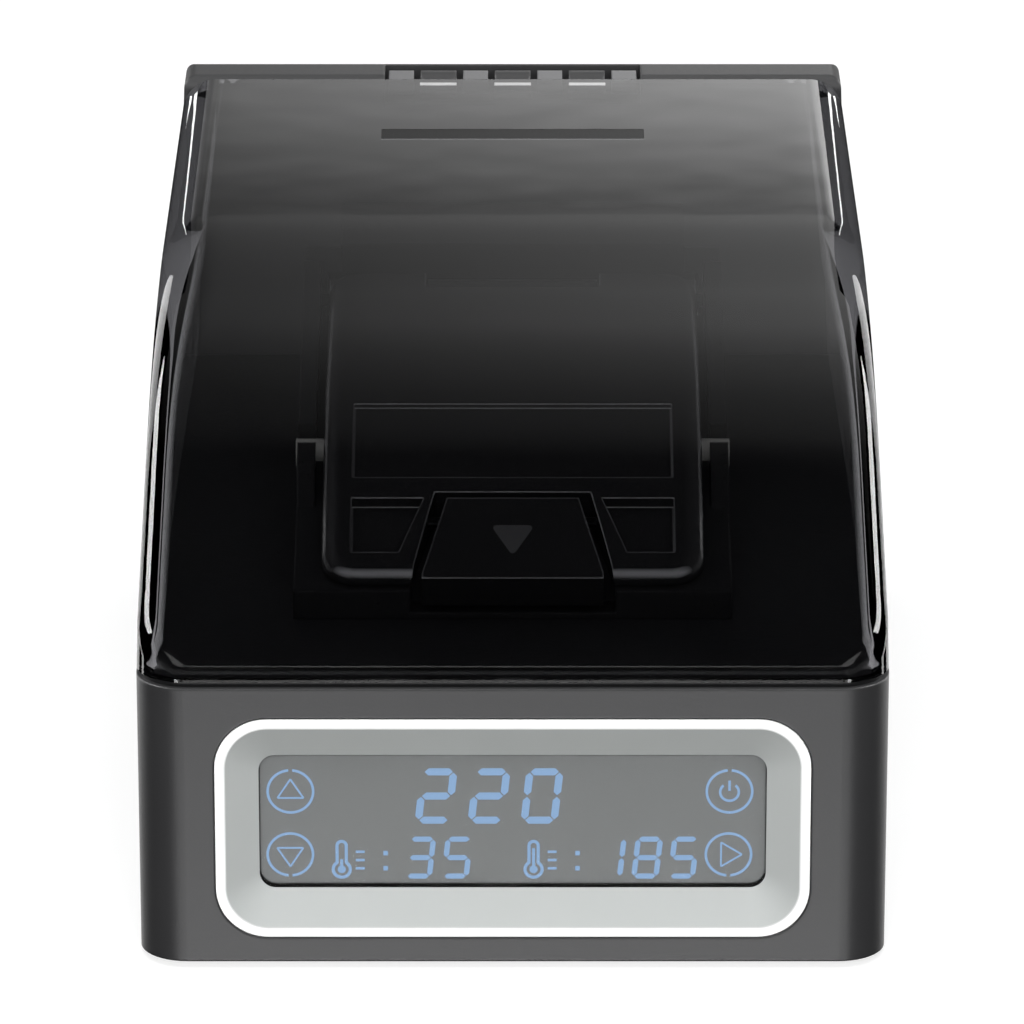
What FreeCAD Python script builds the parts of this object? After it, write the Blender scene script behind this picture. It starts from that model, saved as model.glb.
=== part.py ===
import FreeCAD, Part
import math
import os
from types import SimpleNamespace

import Sketcher

# A heated filament splicer: a grey box with a touch display on its front, a smoked lid hinged
# at the top of its rear wall, and under the lid a sloping heated clamp with a latch.
# Millimetres, +Z up, front towards -Y, origin at the middle of the footprint on the table.

DRIVING_SIZES = {
    # housing
    "width": 100.6,
    "depth": 145.0,
    "corner_radius": 6.5,
    "base_height": 39.4,
    "wall": 2.5,
    "rear_wall": 8.0,
    "rear_round": 0.8,
    "rear_wall_round": 2.0,
    "rear_corner": 2.0,
    "rear_shoulder": 1.6,
    "boss_radius": 4.0,
    "boss_inset": 6.0,
    "boss_height": 7.5,
    # underside
    "foot_height": 1.0,
    "foot_radius": 5.0,
    "foot_seat": 1.0,
    "foot_inset": 13.0,
    "plate_thickness": 2.4,
    "plate_clearance": 0.25,
    "screw_radius": 1.3,
    "screw_head_radius": 2.6,
    "screw_head_height": 1.4,
    "screw_clearance": 0.1,
    # deck
    "deck_lip": 0.9,
    "deck_inset": 0.8,
    "deck_plug": 1.6,
    "deck_clearance": 0.25,
    "wire_hole_radius": 4.0,
    # lid
    "lid_height": 42.2,
    "lid_wall": 2.4,
    "lid_draft": 1.6,
    "lid_shoulder": 5.0,
    "lid_run": 69.0,
    "lid_front_lip": 2.2,
    "lid_slope": 43.5,
    "lid_rear_gap": 0.5,
    "groove_length": 37.4,
    "groove_width": 4.8,
    "groove_depth": 1.0,
    "groove_back": 27.3,
    "filament_slot": 6.0,
    # lid hinge
    "barrel_radius": 2.6,
    "hinge_setback": 4.4,
    "lid_pin_radius": 1.0,
    "running_clearance": 0.05,
    "lid_knuckle": 3.7,
    "base_knuckle": 5.3,
    "knuckle_pitch": 11.0,
    "notch_gap": 0.6,
    "notch_back": 0.9,
    # display
    "bezel_width": 79.6,
    "bezel_height": 31.4,
    "bezel_radius": 7.0,
    "bezel_rise": 19.3,
    "bezel_rim": 1.4,
    "bezel_ear": 2.5,
    "bezel_back": 1.4,
    "bezel_clearance": 0.1,
    "window_width": 68.0,
    "window_height": 19.2,
    "window_radius": 2.2,
    "window_depth": 2.6,
    "window_margin": 1.6,
    "window_thickness": 1.2,
    "lcd_thickness": 2.6,
    "board_thickness": 1.6,
    "touch_board_height": 26.0,
    "post_radius": 1.8,
    "post_spread": 16.0,
    "small_screw_radius": 0.9,
    "small_head_radius": 1.7,
    "small_head_height": 1.2,
    "small_screw_length": 3.4,
    # control board and inlet
    "control_width": 70.0,
    "control_depth": 55.0,
    "control_back": 12.0,
    "standoff_height": 5.0,
    "standoff_radius": 3.0,
    "standoff_inset": 4.0,
    "inlet_side": 25.0,
    "inlet_rise": 13.0,
    "inlet_barrel": 4.0,
    "inlet_body": 5.5,
    "inlet_length": 13.0,
    "inlet_bore": 2.75,
    "inlet_pin": 1.0,
    "inlet_bore_depth": 9.0,
    # clamp
    "clamp_angle": 18.0,
    "clamp_setback": 23.0,
    "clamp_rise": 4.4,
    "cradle_width": 59.4,
    "cradle_length": 80.0,
    "cradle_front": 0.7,
    "cheek": 2.5,
    "cheek_height": 3.4,
    "cheek_start": 16.0,
    "cheek_end": 71.0,
    "cradle_floor": 10.5,
    "cradle_shell": 3.0,
    "cradle_screw_grip": 4.0,
    "cover_width": 52.0,
    "cover_length": 69.0,
    "cover_front": 2.2,
    "cover_crown": 7.75,
    "cover_crown_at": 36.0,
    "cover_edge": 2.4,
    "cover_gap": 0.2,
    "body_gap": 0.3,
    "tube_at": 30.0,
    "tube_radius": 2.0,
    "tube_bore": 1.0,
    "tube_reach": 0.3,
    "block_width": 42.0,
    "block_length": 20.0,
    "block_height": 5.0,
    "heater_height": 1.4,
    "pad_height": 1.2,
    "block_clearance": 0.2,
    "press_height": 3.2,
    "probe_radius": 1.0,
    "probe_length": 14.0,
    "probe_at": 6.0,
    "probe_drop": 3.0,
    "clamp_pin_radius": 1.5,
    "clamp_pin_at": 66.0,
    "clamp_pin_drop": 0.6,
    "clamp_barrel": 3.4,
    "centre_knuckle": 24.0,
    "tower_start": 73.0,
    "tower_length": 7.0,
    "tower_width": 49.0,
    "tower_height": 5.0,
    # latch
    "latch_top": 9.0,
    "latch_foot": 12.3,
    "latch_length": 12.7,
    "latch_slot": 1.6,
    "latch_underside": 1.3,
    "latch_pin_at": 10.6,
    "latch_pin_rise": 2.8,
    "latch_pin_radius": 0.75,
    "latch_pin_half": 12.4,
    "latch_leg": 1.6,
    "latch_drop": 2.6,
    "latch_tooth": 1.4,
    "latch_notch": 4.4,
    "catch_radius": 0.6,
    "spring_width": 6.0,
    "spring_thickness": 0.3,
    "spring_end": 18.0,
    "spring_tip": 11.6,
    # cover panels
    "panel_width": 43.6,
    "panel_start": 16.4,
    "panel_end": 30.9,
    "panel_depth": 0.6,
    "pocket_outer": 21.9,
    "pocket_start": 3.6,
    "pocket_end": 12.6,
    "pocket_depth": 1.5,
}

doc = FreeCAD.newDocument("filament_splicer")
sheet = doc.addObject("Spreadsheet::Sheet", "sizes")
for row, (alias, number) in enumerate(DRIVING_SIZES.items(), start=1):
    sheet.set(f"A{row}", str(number))
    sheet.setAlias(f"A{row}", alias)
doc.recompute()


class Size:
    """A length or angle with the sheet expression that gives it."""

    def __init__(self, value, text):
        self.value = value
        self.text = text

    def __add__(self, other):
        other = as_size(other)
        return Size(self.value + other.value, f"({self.text} + {other.text})")

    def __sub__(self, other):
        other = as_size(other)
        return Size(self.value - other.value, f"({self.text} - {other.text})")

    def __mul__(self, factor):
        factor = as_size(factor)
        return Size(self.value * factor.value, f"({self.text} * {factor.text})")

    def __truediv__(self, divisor):
        divisor = as_size(divisor)
        return Size(self.value / divisor.value, f"({self.text} / {divisor.text})")

    def __neg__(self):
        return Size(-self.value, f"(0 - {self.text})")


def as_size(value):
    if isinstance(value, Size):
        return value
    return Size(float(value), repr(float(value)))


def cosine(angle):
    return Size(math.cos(math.radians(angle.value)), f"cos({angle.text} * 1 deg)")


def sine(angle):
    return Size(math.sin(math.radians(angle.value)), f"sin({angle.text} * 1 deg)")


def root(value):
    return Size(math.sqrt(value.value), f"sqrt({value.text})")


s = SimpleNamespace(**{alias: Size(number, f"sizes.{alias}") for alias, number in DRIVING_SIZES.items()})
EXACT = 1e-9
REACH = Size(1.0, "1.0")  # how far a cutting tool passes the face that it cuts


def bind(thing, prop, size):
    """Tie one property of a document object to the sheet."""
    thing.setExpression(prop, as_size(size).text)


def move(thing, x=0, y=0, z=0):
    for axis, size in zip("xyz", (x, y, z)):
        bind(thing, f"Placement.Base.{axis}", size)
    return thing


# Sketch planes: how a sketch lies, and which way its normal points.
PLANES = {
    "XY": FreeCAD.Rotation(),
    "XZ": FreeCAD.Rotation(FreeCAD.Vector(1, 0, 0), 90),
    "YZ": FreeCAD.Rotation(FreeCAD.Vector(1, 1, 1), 120),
}
NORMALS = {"XY": ("z", 1), "XZ": ("y", -1), "YZ": ("x", 1)}


def vector(point):
    return FreeCAD.Vector(as_size(point[0]).value, as_size(point[1]).value, 0)


def pin_coordinate(sketch, kind, geometry, end, size):
    """Fix one coordinate of a sketch point to a size, or to the axis where it is zero."""
    size = as_size(size)
    if abs(size.value) < EXACT:
        axis = -2 if kind == "DistanceX" else -1
        sketch.addConstraint(Sketcher.Constraint("PointOnObject", geometry, end, axis))
        return
    index = sketch.addConstraint(Sketcher.Constraint(kind, -1, 1, geometry, end, size.value))
    sketch.setExpression(f"Constraints[{index}]", size.text)


def draw_outline(sketch, corners):
    """Close an outline through corners; a corner given as (point, centre, turn) ends an arc.

    The turn is +1 for an arc that runs anticlockwise into its corner and -1 for clockwise."""
    plain = [corner if len(corner) == 3 else (corner, None, 0) for corner in corners]
    ends = []
    first = sketch.GeometryCount
    for number, (point, centre, turn) in enumerate(plain):
        start, finish = vector(plain[number - 1][0]), vector(point)
        if centre is None:
            sketch.addGeometry(Part.LineSegment(start, finish), False)
            ends.append((1, 2))
            continue
        middle = vector(centre)
        circle = Part.Circle(middle, FreeCAD.Vector(0, 0, 1), (start - middle).Length)
        low, high = (start, finish) if turn > 0 else (finish, start)
        angles = [math.atan2(end.y - middle.y, end.x - middle.x) for end in (low, high)]
        sketch.addGeometry(Part.ArcOfCircle(circle, *angles), False)
        ends.append((1, 2) if turn > 0 else (2, 1))
    count = len(plain)
    for number, (point, centre, turn) in enumerate(plain):
        here, after = first + number, first + (number + 1) % count
        sketch.addConstraint(
            Sketcher.Constraint("Coincident", here, ends[number][1], after, ends[(number + 1) % count][0]))
        pin_coordinate(sketch, "DistanceX", here, ends[number][1], point[0])
        pin_coordinate(sketch, "DistanceY", here, ends[number][1], point[1])
    for number, (point, centre, turn) in enumerate(plain):
        if centre is None:
            continue
        chord = vector(point) - vector(plain[number - 1][0])
        upright = abs(chord.y) > abs(chord.x)
        kind, size = ("DistanceX", centre[0]) if upright else ("DistanceY", centre[1])
        pin_coordinate(sketch, kind, first + number, 3, size)


def draw_circle(sketch, x, y, radius):
    here = sketch.addGeometry(Part.Circle(vector((x, y)), FreeCAD.Vector(0, 0, 1), radius.value), False)
    pin_coordinate(sketch, "DistanceX", here, 3, x)
    pin_coordinate(sketch, "DistanceY", here, 3, y)
    index = sketch.addConstraint(Sketcher.Constraint("Radius", here, radius.value))
    sketch.setExpression(f"Constraints[{index}]", radius.text)


def rounded(half_x, half_y, radius, x=0, y=0):
    """Outline of a rectangle with round corners about a centre."""
    x, y = as_size(x), as_size(y)
    left, right = x - half_x, x + half_x
    low, high = y - half_y, y + half_y
    return [
        (left + radius, low), (right - radius, low),
        ((right, low + radius), (right - radius, low + radius), 1), (right, high - radius),
        ((right - radius, high), (right - radius, high - radius), 1), (left + radius, high),
        ((left, high - radius), (left + radius, high - radius), 1), (left, low + radius),
        ((left + radius, low), (left + radius, low + radius), 1),
    ][1:]


def square(low_x, high_x, low_y, high_y):
    return [(low_x, low_y), (high_x, low_y), (high_x, high_y), (low_x, high_y)]


def loose_sketch(name, plane, corners, start):
    sketch = doc.addObject("Sketcher::SketchObject", f"{name}_outline")
    sketch.Placement = FreeCAD.Placement(FreeCAD.Vector(), PLANES[plane])
    bind(sketch, f"Placement.Base.{NORMALS[plane][0]}", start)
    draw_outline(sketch, corners)
    return sketch


def extrude(name, plane, corners, start, finish):
    """A prism of an outline between two places along the plane's axis."""
    start, finish = as_size(start), as_size(finish)
    solid = doc.addObject("Part::Extrusion", name)
    solid.Base = loose_sketch(name, plane, corners, start)
    solid.DirMode = "Normal"
    solid.Solid = True
    solid.Reversed = NORMALS[plane][1] < 0
    bind(solid, "LengthFwd", finish - start)
    return solid


def box(name, x, y, z):
    """A block from its low and high places on the three axes."""
    block = doc.addObject("Part::Box", name)
    for prop, (low, high) in zip(("Length", "Width", "Height"), (x, y, z)):
        bind(block, prop, as_size(high) - low)
    return move(block, x[0], y[0], z[0])


AXES = {
    "x": FreeCAD.Rotation(FreeCAD.Vector(0, 1, 0), 90),
    "y": FreeCAD.Rotation(FreeCAD.Vector(1, 0, 0), -90),
    "z": FreeCAD.Rotation(),
}


def rod(name, axis, radius, start, finish, across):
    """A round bar along an axis; across gives its place on the other two axes in order."""
    bar = doc.addObject("Part::Cylinder", name)
    bar.Placement = FreeCAD.Placement(FreeCAD.Vector(), AXES[axis])
    bind(bar, "Radius", radius)
    bind(bar, "Height", as_size(finish) - start)
    place = dict(zip([letter for letter in "xyz" if letter != axis], across))
    place[axis] = start
    return move(bar, **place)


def fuse(name, *pieces):
    result = doc.addObject("Part::MultiFuse", name)
    result.Shapes = list(pieces)
    result.Refine = True
    return result


def cut(name, base, *tools):
    result = doc.addObject("Part::Cut", name)
    result.Base = base
    result.Tool = tools[0] if len(tools) == 1 else fuse(f"{name}_tools", *tools)
    result.Refine = True
    return result


def overlap(name, *pieces):
    result = pieces[0]
    for number, piece in enumerate(pieces[1:], start=1):
        both = doc.addObject("Part::Common", f"{name}_{number}")
        both.Base, both.Tool = result, piece
        result = both
    return result


def round_edges(name, base, radius, wanted):
    """Round the edges of a solid that the test picks."""
    doc.recompute()
    result = doc.addObject("Part::Fillet", name)
    result.Base = base
    picked = [number for number, edge in enumerate(base.Shape.Edges, start=1) if wanted(edge)]
    result.Edges = [(number, radius.value, radius.value) for number in picked]
    return result


def group(name, pieces):
    """Several like pieces kept as separate solids of one node."""
    result = doc.addObject("Part::Compound", name)
    result.Links = list(pieces)
    return result


class Body:
    """A part built by padding and pocketing sketches on its own origin planes."""

    def __init__(self, name):
        self.name = name
        self.body = doc.addObject("PartDesign::Body", name)
        self.planes = {plane.Role: plane for plane in self.body.Origin.OriginFeatures}
        self.count = 0

    def sketch(self, plane, start, corners=None, circles=()):
        self.count += 1
        sketch = self.body.newObject("Sketcher::SketchObject", f"{self.name}_sketch_{self.count}")
        sketch.AttachmentSupport = (self.planes[f"{plane}_Plane"], [""])
        sketch.MapMode = "FlatFace"
        bind(sketch, "AttachmentOffset.Base.z", as_size(start) * NORMALS[plane][1])
        if corners:
            draw_outline(sketch, corners)
        for circle in circles:
            draw_circle(sketch, *circle)
        return sketch

    def pad(self, plane, start, finish, corners=None, circles=()):
        sketch = self.sketch(plane, start, corners, circles)
        pad = self.body.newObject("PartDesign::Pad", f"{self.name}_pad_{self.count}")
        pad.Profile = sketch
        pad.Reversed = NORMALS[plane][1] < 0
        bind(pad, "Length", as_size(finish) - start)
        doc.recompute()

    def pocket(self, plane, start, finish, corners=None, circles=()):
        """Cut between two places, and make sure that the cut takes something away."""
        before = self.body.Shape.Volume
        sketch = self.sketch(plane, start, corners, circles)
        pocket = self.body.newObject("PartDesign::Pocket", f"{self.name}_pocket_{self.count}")
        pocket.Profile = sketch
        pocket.Reversed = NORMALS[plane][1] > 0
        bind(pocket, "Length", as_size(finish) - start)
        doc.recompute()
        if self.body.Shape.Volume > before - EXACT:
            raise RuntimeError(f"{pocket.Name} cut nothing")


def signed(sign, size):
    return size if sign > 0 else -size


# Shared places
front = -s.depth / 2
rear = s.depth / 2
side = s.width / 2
shell_floor = s.foot_height
rim = shell_floor + s.base_height
deck = rim + s.deck_lip
top = deck + s.lid_height
wall_front = rear - s.rear_wall
hinge_y = rear - s.hinge_setback
hinge_z = top - s.barrel_radius
lid_rear = wall_front - s.lid_rear_gap
plate_top = shell_floor + s.plate_thickness
bezel_z = shell_floor + s.bezel_rise
hinge_half = s.knuckle_pitch * 1.5 + s.lid_knuckle / 2
notch_floor = hinge_z - s.barrel_radius - s.notch_gap
base_knuckles = [s.knuckle_pitch * number for number in (-1, 0, 1)]
lid_knuckles = [s.knuckle_pitch * number for number in (-1.5, -0.5, 0.5, 1.5)]
corners_xy = [(sx, sy) for sx in (-1, 1) for sy in (-1, 1)]

# Clamp frame: along the slope from the cover's front edge, and up from the parting face
clamp_y = front + s.clamp_setback
clamp_z = deck + s.clamp_rise


def on_slope(thing):
    """Set a clamp piece, drawn level, on the slope of the parting face."""
    if thing.TypeId in ("Part::Box", "Part::Cylinder"):
        level = thing
        level.Label = f"{level.Name}_level"
        thing = doc.addObject("Part::Compound", f"{level.Name}_set")
        thing.Links = [level]
    thing.Placement = FreeCAD.Placement(FreeCAD.Vector(), FreeCAD.Rotation(FreeCAD.Vector(1, 0, 0), 1))
    bind(thing, "Placement.Rotation.Angle", s.clamp_angle)
    return move(thing, 0, clamp_y, clamp_z)


def slope_place(along, up):
    """Height and depth of a point of the clamp frame in the part's own frame."""
    turn, rise = cosine(s.clamp_angle), sine(s.clamp_angle)
    return clamp_y + along * turn - up * rise, clamp_z + along * rise + up * turn


def section_outline(inset, low, outer_shoulder):
    """Lid and rear wall seen from the front: drafted sides and round shoulders."""
    half_low, half_high = side - inset, side - inset - s.lid_draft
    crest = top - inset
    shoulder = outer_shoulder - inset
    inner = half_high - shoulder
    spring = crest - shoulder
    return [
        (-half_low, low), (half_low, low), (half_high, spring),
        ((inner, crest), (inner, spring), 1), (-inner, crest),
        ((-half_high, spring), (-inner, spring), 1),
    ]


def lid_form(name, inset, rear_end, low):
    """The lid's solid form, drawn in by an inset for its inner wall."""
    face = front + inset
    crest = top - inset
    # a straight slope from the front lip runs into an arc that ends level at the crest
    turn, rise = cosine(s.lid_slope), sine(s.lid_slope)
    outer_radius = (s.lid_run * rise - (s.lid_height - s.lid_front_lip) * turn) / (as_size(1) - turn)
    radius = outer_radius - inset
    arc_end = front + s.lid_run
    arc_centre = (arc_end, top - outer_radius)
    arc_start = (arc_end - radius * rise, top - outer_radius + radius * turn)
    lip = arc_start[1] - (arc_start[0] - face) * (rise / turn)
    radius_plan = s.corner_radius - inset
    plan = [
        (-side + inset, rear_end), (-side + inset, face + radius_plan),
        ((-side + inset + radius_plan, face), (-side + inset + radius_plan, face + radius_plan), 1),
        (side - inset - radius_plan, face),
        ((side - inset, face + radius_plan), (side - inset - radius_plan, face + radius_plan), 1),
        (side - inset, rear_end),
    ]
    profile = [
        (face, low), (rear_end, low), (rear_end, crest), (arc_end, crest),
        (arc_start, arc_centre, 1), (face, lip),
    ]
    return overlap(
        name,
        extrude(f"{name}_plan", "XY", plan, low, top + REACH),
        extrude(f"{name}_profile", "YZ", profile, -side - REACH, side + REACH),
        extrude(f"{name}_section", "XZ", section_outline(inset, low, s.lid_shoulder),
                front - REACH, rear + REACH))


def housing_outline():
    """Housing seen from above: wide round corners at the front, tight ones at the rear."""
    wide, tight = s.corner_radius, s.rear_corner
    return [
        (-side + tight, rear), ((-side, rear - tight), (-side + tight, rear - tight), 1),
        (-side, front + wide), ((-side + wide, front), (-side + wide, front + wide), 1),
        (side - wide, front), ((side, front + wide), (side - wide, front + wide), 1),
        (side, rear - tight), ((side - tight, rear), (side - tight, rear - tight), 1),
    ]


def make_base_shell():
    block = extrude("base_block", "XY", housing_outline(), shell_floor, rim)
    plan = extrude("rear_plan", "XY", housing_outline(), shell_floor, top + REACH)
    back_round, near_round = s.rear_round, s.rear_wall_round
    profile = [
        (wall_front, rim - s.wall), (rear, rim - s.wall), (rear, top - back_round),
        ((rear - back_round, top), (rear - back_round, top - back_round), 1),
        (wall_front + near_round, top),
        ((wall_front, top - near_round), (wall_front + near_round, top - near_round), 1),
    ]
    rear_wall = overlap(
        "rear_wall", plan,
        extrude("rear_profile", "YZ", profile, -side - REACH, side + REACH),
        extrude("rear_section", "XZ", section_outline(as_size(0), rim - s.wall, s.rear_shoulder),
                front, rear + REACH))
    cavity_x, cavity_y = side - s.wall, s.depth / 2 - s.wall
    cavity = extrude("base_cavity", "XY", rounded(cavity_x, cavity_y, s.corner_radius - s.wall),
                     shell_floor - REACH, rim)
    window = extrude(
        "bezel_opening", "XZ",
        rounded(s.bezel_width / 2 + s.bezel_clearance, s.bezel_height / 2 + s.bezel_clearance,
                s.bezel_radius + s.bezel_clearance, 0, bezel_z),
        front - REACH, front + s.wall + REACH)
    inlet = rod("inlet_opening", "y", s.inlet_barrel + s.bezel_clearance, rear - s.wall - REACH, rear + REACH,
                (s.inlet_side, shell_floor + s.inlet_rise))
    notch = box("hinge_notch", (-hinge_half - s.notch_gap, hinge_half + s.notch_gap),
                (wall_front - REACH, rear - s.notch_back), (notch_floor, top + REACH))
    hidden_half = side - s.wall - s.lid_draft
    channel = box("rear_channel", (-hidden_half, hidden_half), (wall_front + s.wall, rear - s.wall),
                  (rim - REACH, notch_floor - s.wall))
    hollow = cut("base_hollow", fuse("base_outer", block, rear_wall), cavity, channel, window, inlet, notch)
    added, drilled = [], []
    for number, place in enumerate(inset_places(s.boss_inset)):
        added.append(rod(f"boss_{number}", "z", s.boss_radius, plate_top, plate_top + s.boss_height, place))
        drilled.append(rod(f"boss_hole_{number}", "z", s.screw_radius + s.screw_clearance,
                           plate_top - REACH, plate_top + s.boss_height - REACH, place))
    for number, x in enumerate(base_knuckles):
        low, high = x - s.base_knuckle / 2, x + s.base_knuckle / 2
        added.append(rod(f"base_barrel_{number}", "x", s.barrel_radius, low, high, (hinge_y, hinge_z)))
        added.append(box(f"base_web_{number}", (low, high), (hinge_y - s.lid_pin_radius, rear - s.notch_back),
                         (notch_floor - REACH, hinge_z)))
    drilled.append(rod("base_pin_bore", "x", s.lid_pin_radius, -hinge_half, hinge_half, (hinge_y, hinge_z)))
    return cut("base_shell", fuse("base_built", hollow, *added), *drilled)


def make_bottom_plate():
    plate = Body("bottom_plate")
    half_x, half_y = side - s.wall - s.plate_clearance, s.depth / 2 - s.wall - s.plate_clearance
    plate.pad("XY", shell_floor, plate_top,
              rounded(half_x, half_y, s.corner_radius - s.wall - s.plate_clearance))
    plate.pocket("XY", shell_floor, plate_top,
                 circles=[(x, y, s.screw_radius + s.screw_clearance) for x, y in inset_places(s.boss_inset)])
    plate.pocket("XY", shell_floor, shell_floor + s.screw_head_height,
                 circles=[(x, y, s.screw_head_radius + s.screw_clearance)
                          for x, y in inset_places(s.boss_inset)])
    plate.pocket("XY", shell_floor, shell_floor + s.foot_seat,
                 circles=[(x, y, s.foot_radius + s.running_clearance) for x, y in inset_places(s.foot_inset)])
    plate.pad("XY", plate_top, plate_top + s.standoff_height,
              circles=[(x, y, s.standoff_radius) for x, y in standoff_places()])
    plate.pocket("XY", plate_top, plate_top + s.standoff_height,
                 circles=[(x, y, s.small_screw_radius) for x, y in standoff_places()])
    return plate.body


def inset_places(inset):
    """The four plan places at one distance in from the sides and ends."""
    return [(signed(sx, side - inset), signed(sy, s.depth / 2 - inset)) for sx, sy in corners_xy]


def standoff_places():
    half_x = s.control_width / 2 - s.standoff_inset
    half_y = s.control_depth / 2 - s.standoff_inset
    return [(signed(sx, half_x), s.control_back + signed(sy, half_y)) for sx, sy in corners_xy]


def screw(name, axis, radius, head_radius, head_height, length, seat, across, towards):
    """A screw whose head stands on a seat and whose shank runs the way that towards says."""
    low, high = (seat - head_height, seat) if towards > 0 else (seat, seat + head_height)
    head = rod(f"{name}_head", axis, head_radius, low, high, across)
    low, high = (seat, seat + length) if towards > 0 else (seat - length, seat)
    shank = rod(f"{name}_shank", axis, radius, low, high, across)
    return fuse(name, head, shank)


def make_bottom_screws():
    bottom_shank = s.plate_thickness - s.screw_head_height + s.boss_height - REACH * 2
    pieces = []
    for number, place in enumerate(inset_places(s.boss_inset)):
        pieces.append(screw(f"bottom_screw_{number}", "z", s.screw_radius, s.screw_head_radius,
                            s.screw_head_height - s.screw_clearance, bottom_shank,
                            shell_floor + s.screw_head_height, place, 1))
    return group("bottom_screws", pieces)


def make_rubber_feet():
    return group("rubber_feet", [
        rod(f"rubber_foot_{number}", "z", s.foot_radius, 0, shell_floor + s.foot_seat, place)
        for number, place in enumerate(inset_places(s.foot_inset))])


def make_top_deck():
    deck_plate = Body("top_deck")
    lip_half, lip_front = side - s.deck_inset, front + s.deck_inset
    lip_radius = s.corner_radius - s.deck_inset
    lip_rear = wall_front - s.deck_clearance

    def apron(half_x, face, radius):
        return [
            (-half_x, lip_rear), (-half_x, face + radius),
            ((-half_x + radius, face), (-half_x + radius, face + radius), 1), (half_x - radius, face),
            ((half_x, face + radius), (half_x - radius, face + radius), 1), (half_x, lip_rear),
        ]

    deck_plate.pad("XY", rim, deck, apron(lip_half, lip_front, lip_radius))
    plug_half = side - s.wall - s.deck_clearance
    deck_plate.pad("XY", rim - s.deck_plug, rim,
                   apron(plug_half, front + s.wall + s.deck_clearance, s.corner_radius - s.wall))
    deck_plate.pocket("XY", rim - s.deck_plug, deck,
                      circles=[(0, wire_hole_y(), s.wire_hole_radius)])
    deck_plate.pocket("XY", rim - s.deck_plug, deck,
                      circles=[(x, y, s.screw_radius + s.screw_clearance) for x, y in cradle_screw_places()])
    return deck_plate.body


def wire_hole_y():
    return clamp_y + s.cradle_length * 0.75


def cradle_screw_places():
    half = s.cradle_width / 2 - s.cradle_shell - s.screw_radius
    near = clamp_y + s.tube_at * 0.5
    far = clamp_y + s.cradle_length * 0.85
    return [(signed(sx, half), y) for sx in (-1, 1) for y in (near, far)]


def make_cradle_screws():
    pieces = []
    for number, place in enumerate(cradle_screw_places()):
        pieces.append(screw(f"cradle_screw_{number}", "z", s.screw_radius, s.screw_head_radius,
                            s.screw_head_height, s.deck_plug + s.deck_lip + s.cradle_screw_grip,
                            rim - s.deck_plug, place, 1))
    return group("cradle_screws", pieces)


def make_lid():
    outer = lid_form("lid_outer", as_size(0), lid_rear, deck)
    inner = lid_form("lid_inner", s.lid_wall, lid_rear + REACH, deck - REACH)
    groove_y = lid_rear - s.groove_back
    groove = extrude(
        "lid_groove", "XY",
        rounded(s.groove_length / 2, s.groove_width / 2, s.groove_width / 3, 0, groove_y),
        top - s.groove_depth, top + REACH)
    slot_y, slot_z = slope_place(s.tube_at, as_size(0))
    half = s.filament_slot / 2
    slot = extrude("lid_filament_slot", "YZ", [
        (slot_y - half, deck - REACH), (slot_y + half, deck - REACH), (slot_y + half, slot_z),
        ((slot_y - half, slot_z), (slot_y, slot_z), 1)], -side - REACH, side + REACH)
    added = []
    for number, x in enumerate(lid_knuckles):
        low, high = x - s.lid_knuckle / 2, x + s.lid_knuckle / 2
        added.append(rod(f"lid_barrel_{number}", "x", s.barrel_radius, low, high, (hinge_y, hinge_z)))
        added.append(box(f"lid_web_{number}", (low, high), (lid_rear - REACH, hinge_y),
                         (top - s.lid_wall, top)))
    bore = rod("lid_pin_bore", "x", s.lid_pin_radius + s.running_clearance, -side, side, (hinge_y, hinge_z))
    shell = cut("lid_shell", outer, inner, groove, slot)
    return cut("lid", fuse("lid_built", shell, *added), bore)


def make_lid_hinge_pin():
    return rod("lid_hinge_pin", "x", s.lid_pin_radius, -hinge_half, hinge_half, (hinge_y, hinge_z))


def make_display_bezel():
    back = front + s.wall
    body = extrude("bezel_body", "XZ",
                   rounded(s.bezel_width / 2, s.bezel_height / 2, s.bezel_radius, 0, bezel_z),
                   front, back + s.bezel_back)
    ears = box("bezel_ears", (-s.bezel_width / 2 - s.bezel_ear, s.bezel_width / 2 + s.bezel_ear),
               (back, back + s.bezel_back),
               (bezel_z - s.bezel_height / 2 + s.bezel_radius, bezel_z + s.bezel_height / 2 - s.bezel_radius))
    posts = [rod(f"bezel_post_{number}", "y", s.post_radius, back, touch_board_front(), place)
             for number, place in enumerate(post_places())]
    mouth = doc.addObject("Part::Loft", "bezel_mouth")
    mouth.Sections = [
        loose_sketch("bezel_mouth_front", "XZ", rounded(
            s.bezel_width / 2 - s.bezel_rim, s.bezel_height / 2 - s.bezel_rim, s.bezel_radius - s.bezel_rim,
            0, bezel_z), front),
        loose_sketch("bezel_mouth_back", "XZ", rounded(
            s.window_width / 2, s.window_height / 2, s.window_radius, 0, bezel_z), front + s.window_depth)]
    mouth.Solid = True
    mouth.Ruled = True
    seat = box("bezel_seat", (-window_half_x, window_half_x),
               (front + s.window_depth, back + s.bezel_back + REACH),
               (bezel_z - window_half_z, bezel_z + window_half_z))
    bores = [rod(f"bezel_bore_{number}", "y", s.small_screw_radius, back, touch_board_front() + REACH, place)
             for number, place in enumerate(post_places())]
    return cut("display_bezel", fuse("bezel_built", body, ears, *posts), mouth, seat, *bores)


window_half_x = s.window_width / 2 + s.window_margin
window_half_z = s.window_height / 2 + s.window_margin
window_back = front + s.window_depth + s.window_thickness


def touch_board_front():
    return window_back + s.lcd_thickness


def post_places():
    x = s.bezel_width / 2 - s.post_radius
    return [(signed(sx, x), bezel_z + signed(sz, s.post_spread / 2)) for sx, sz in corners_xy]


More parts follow.
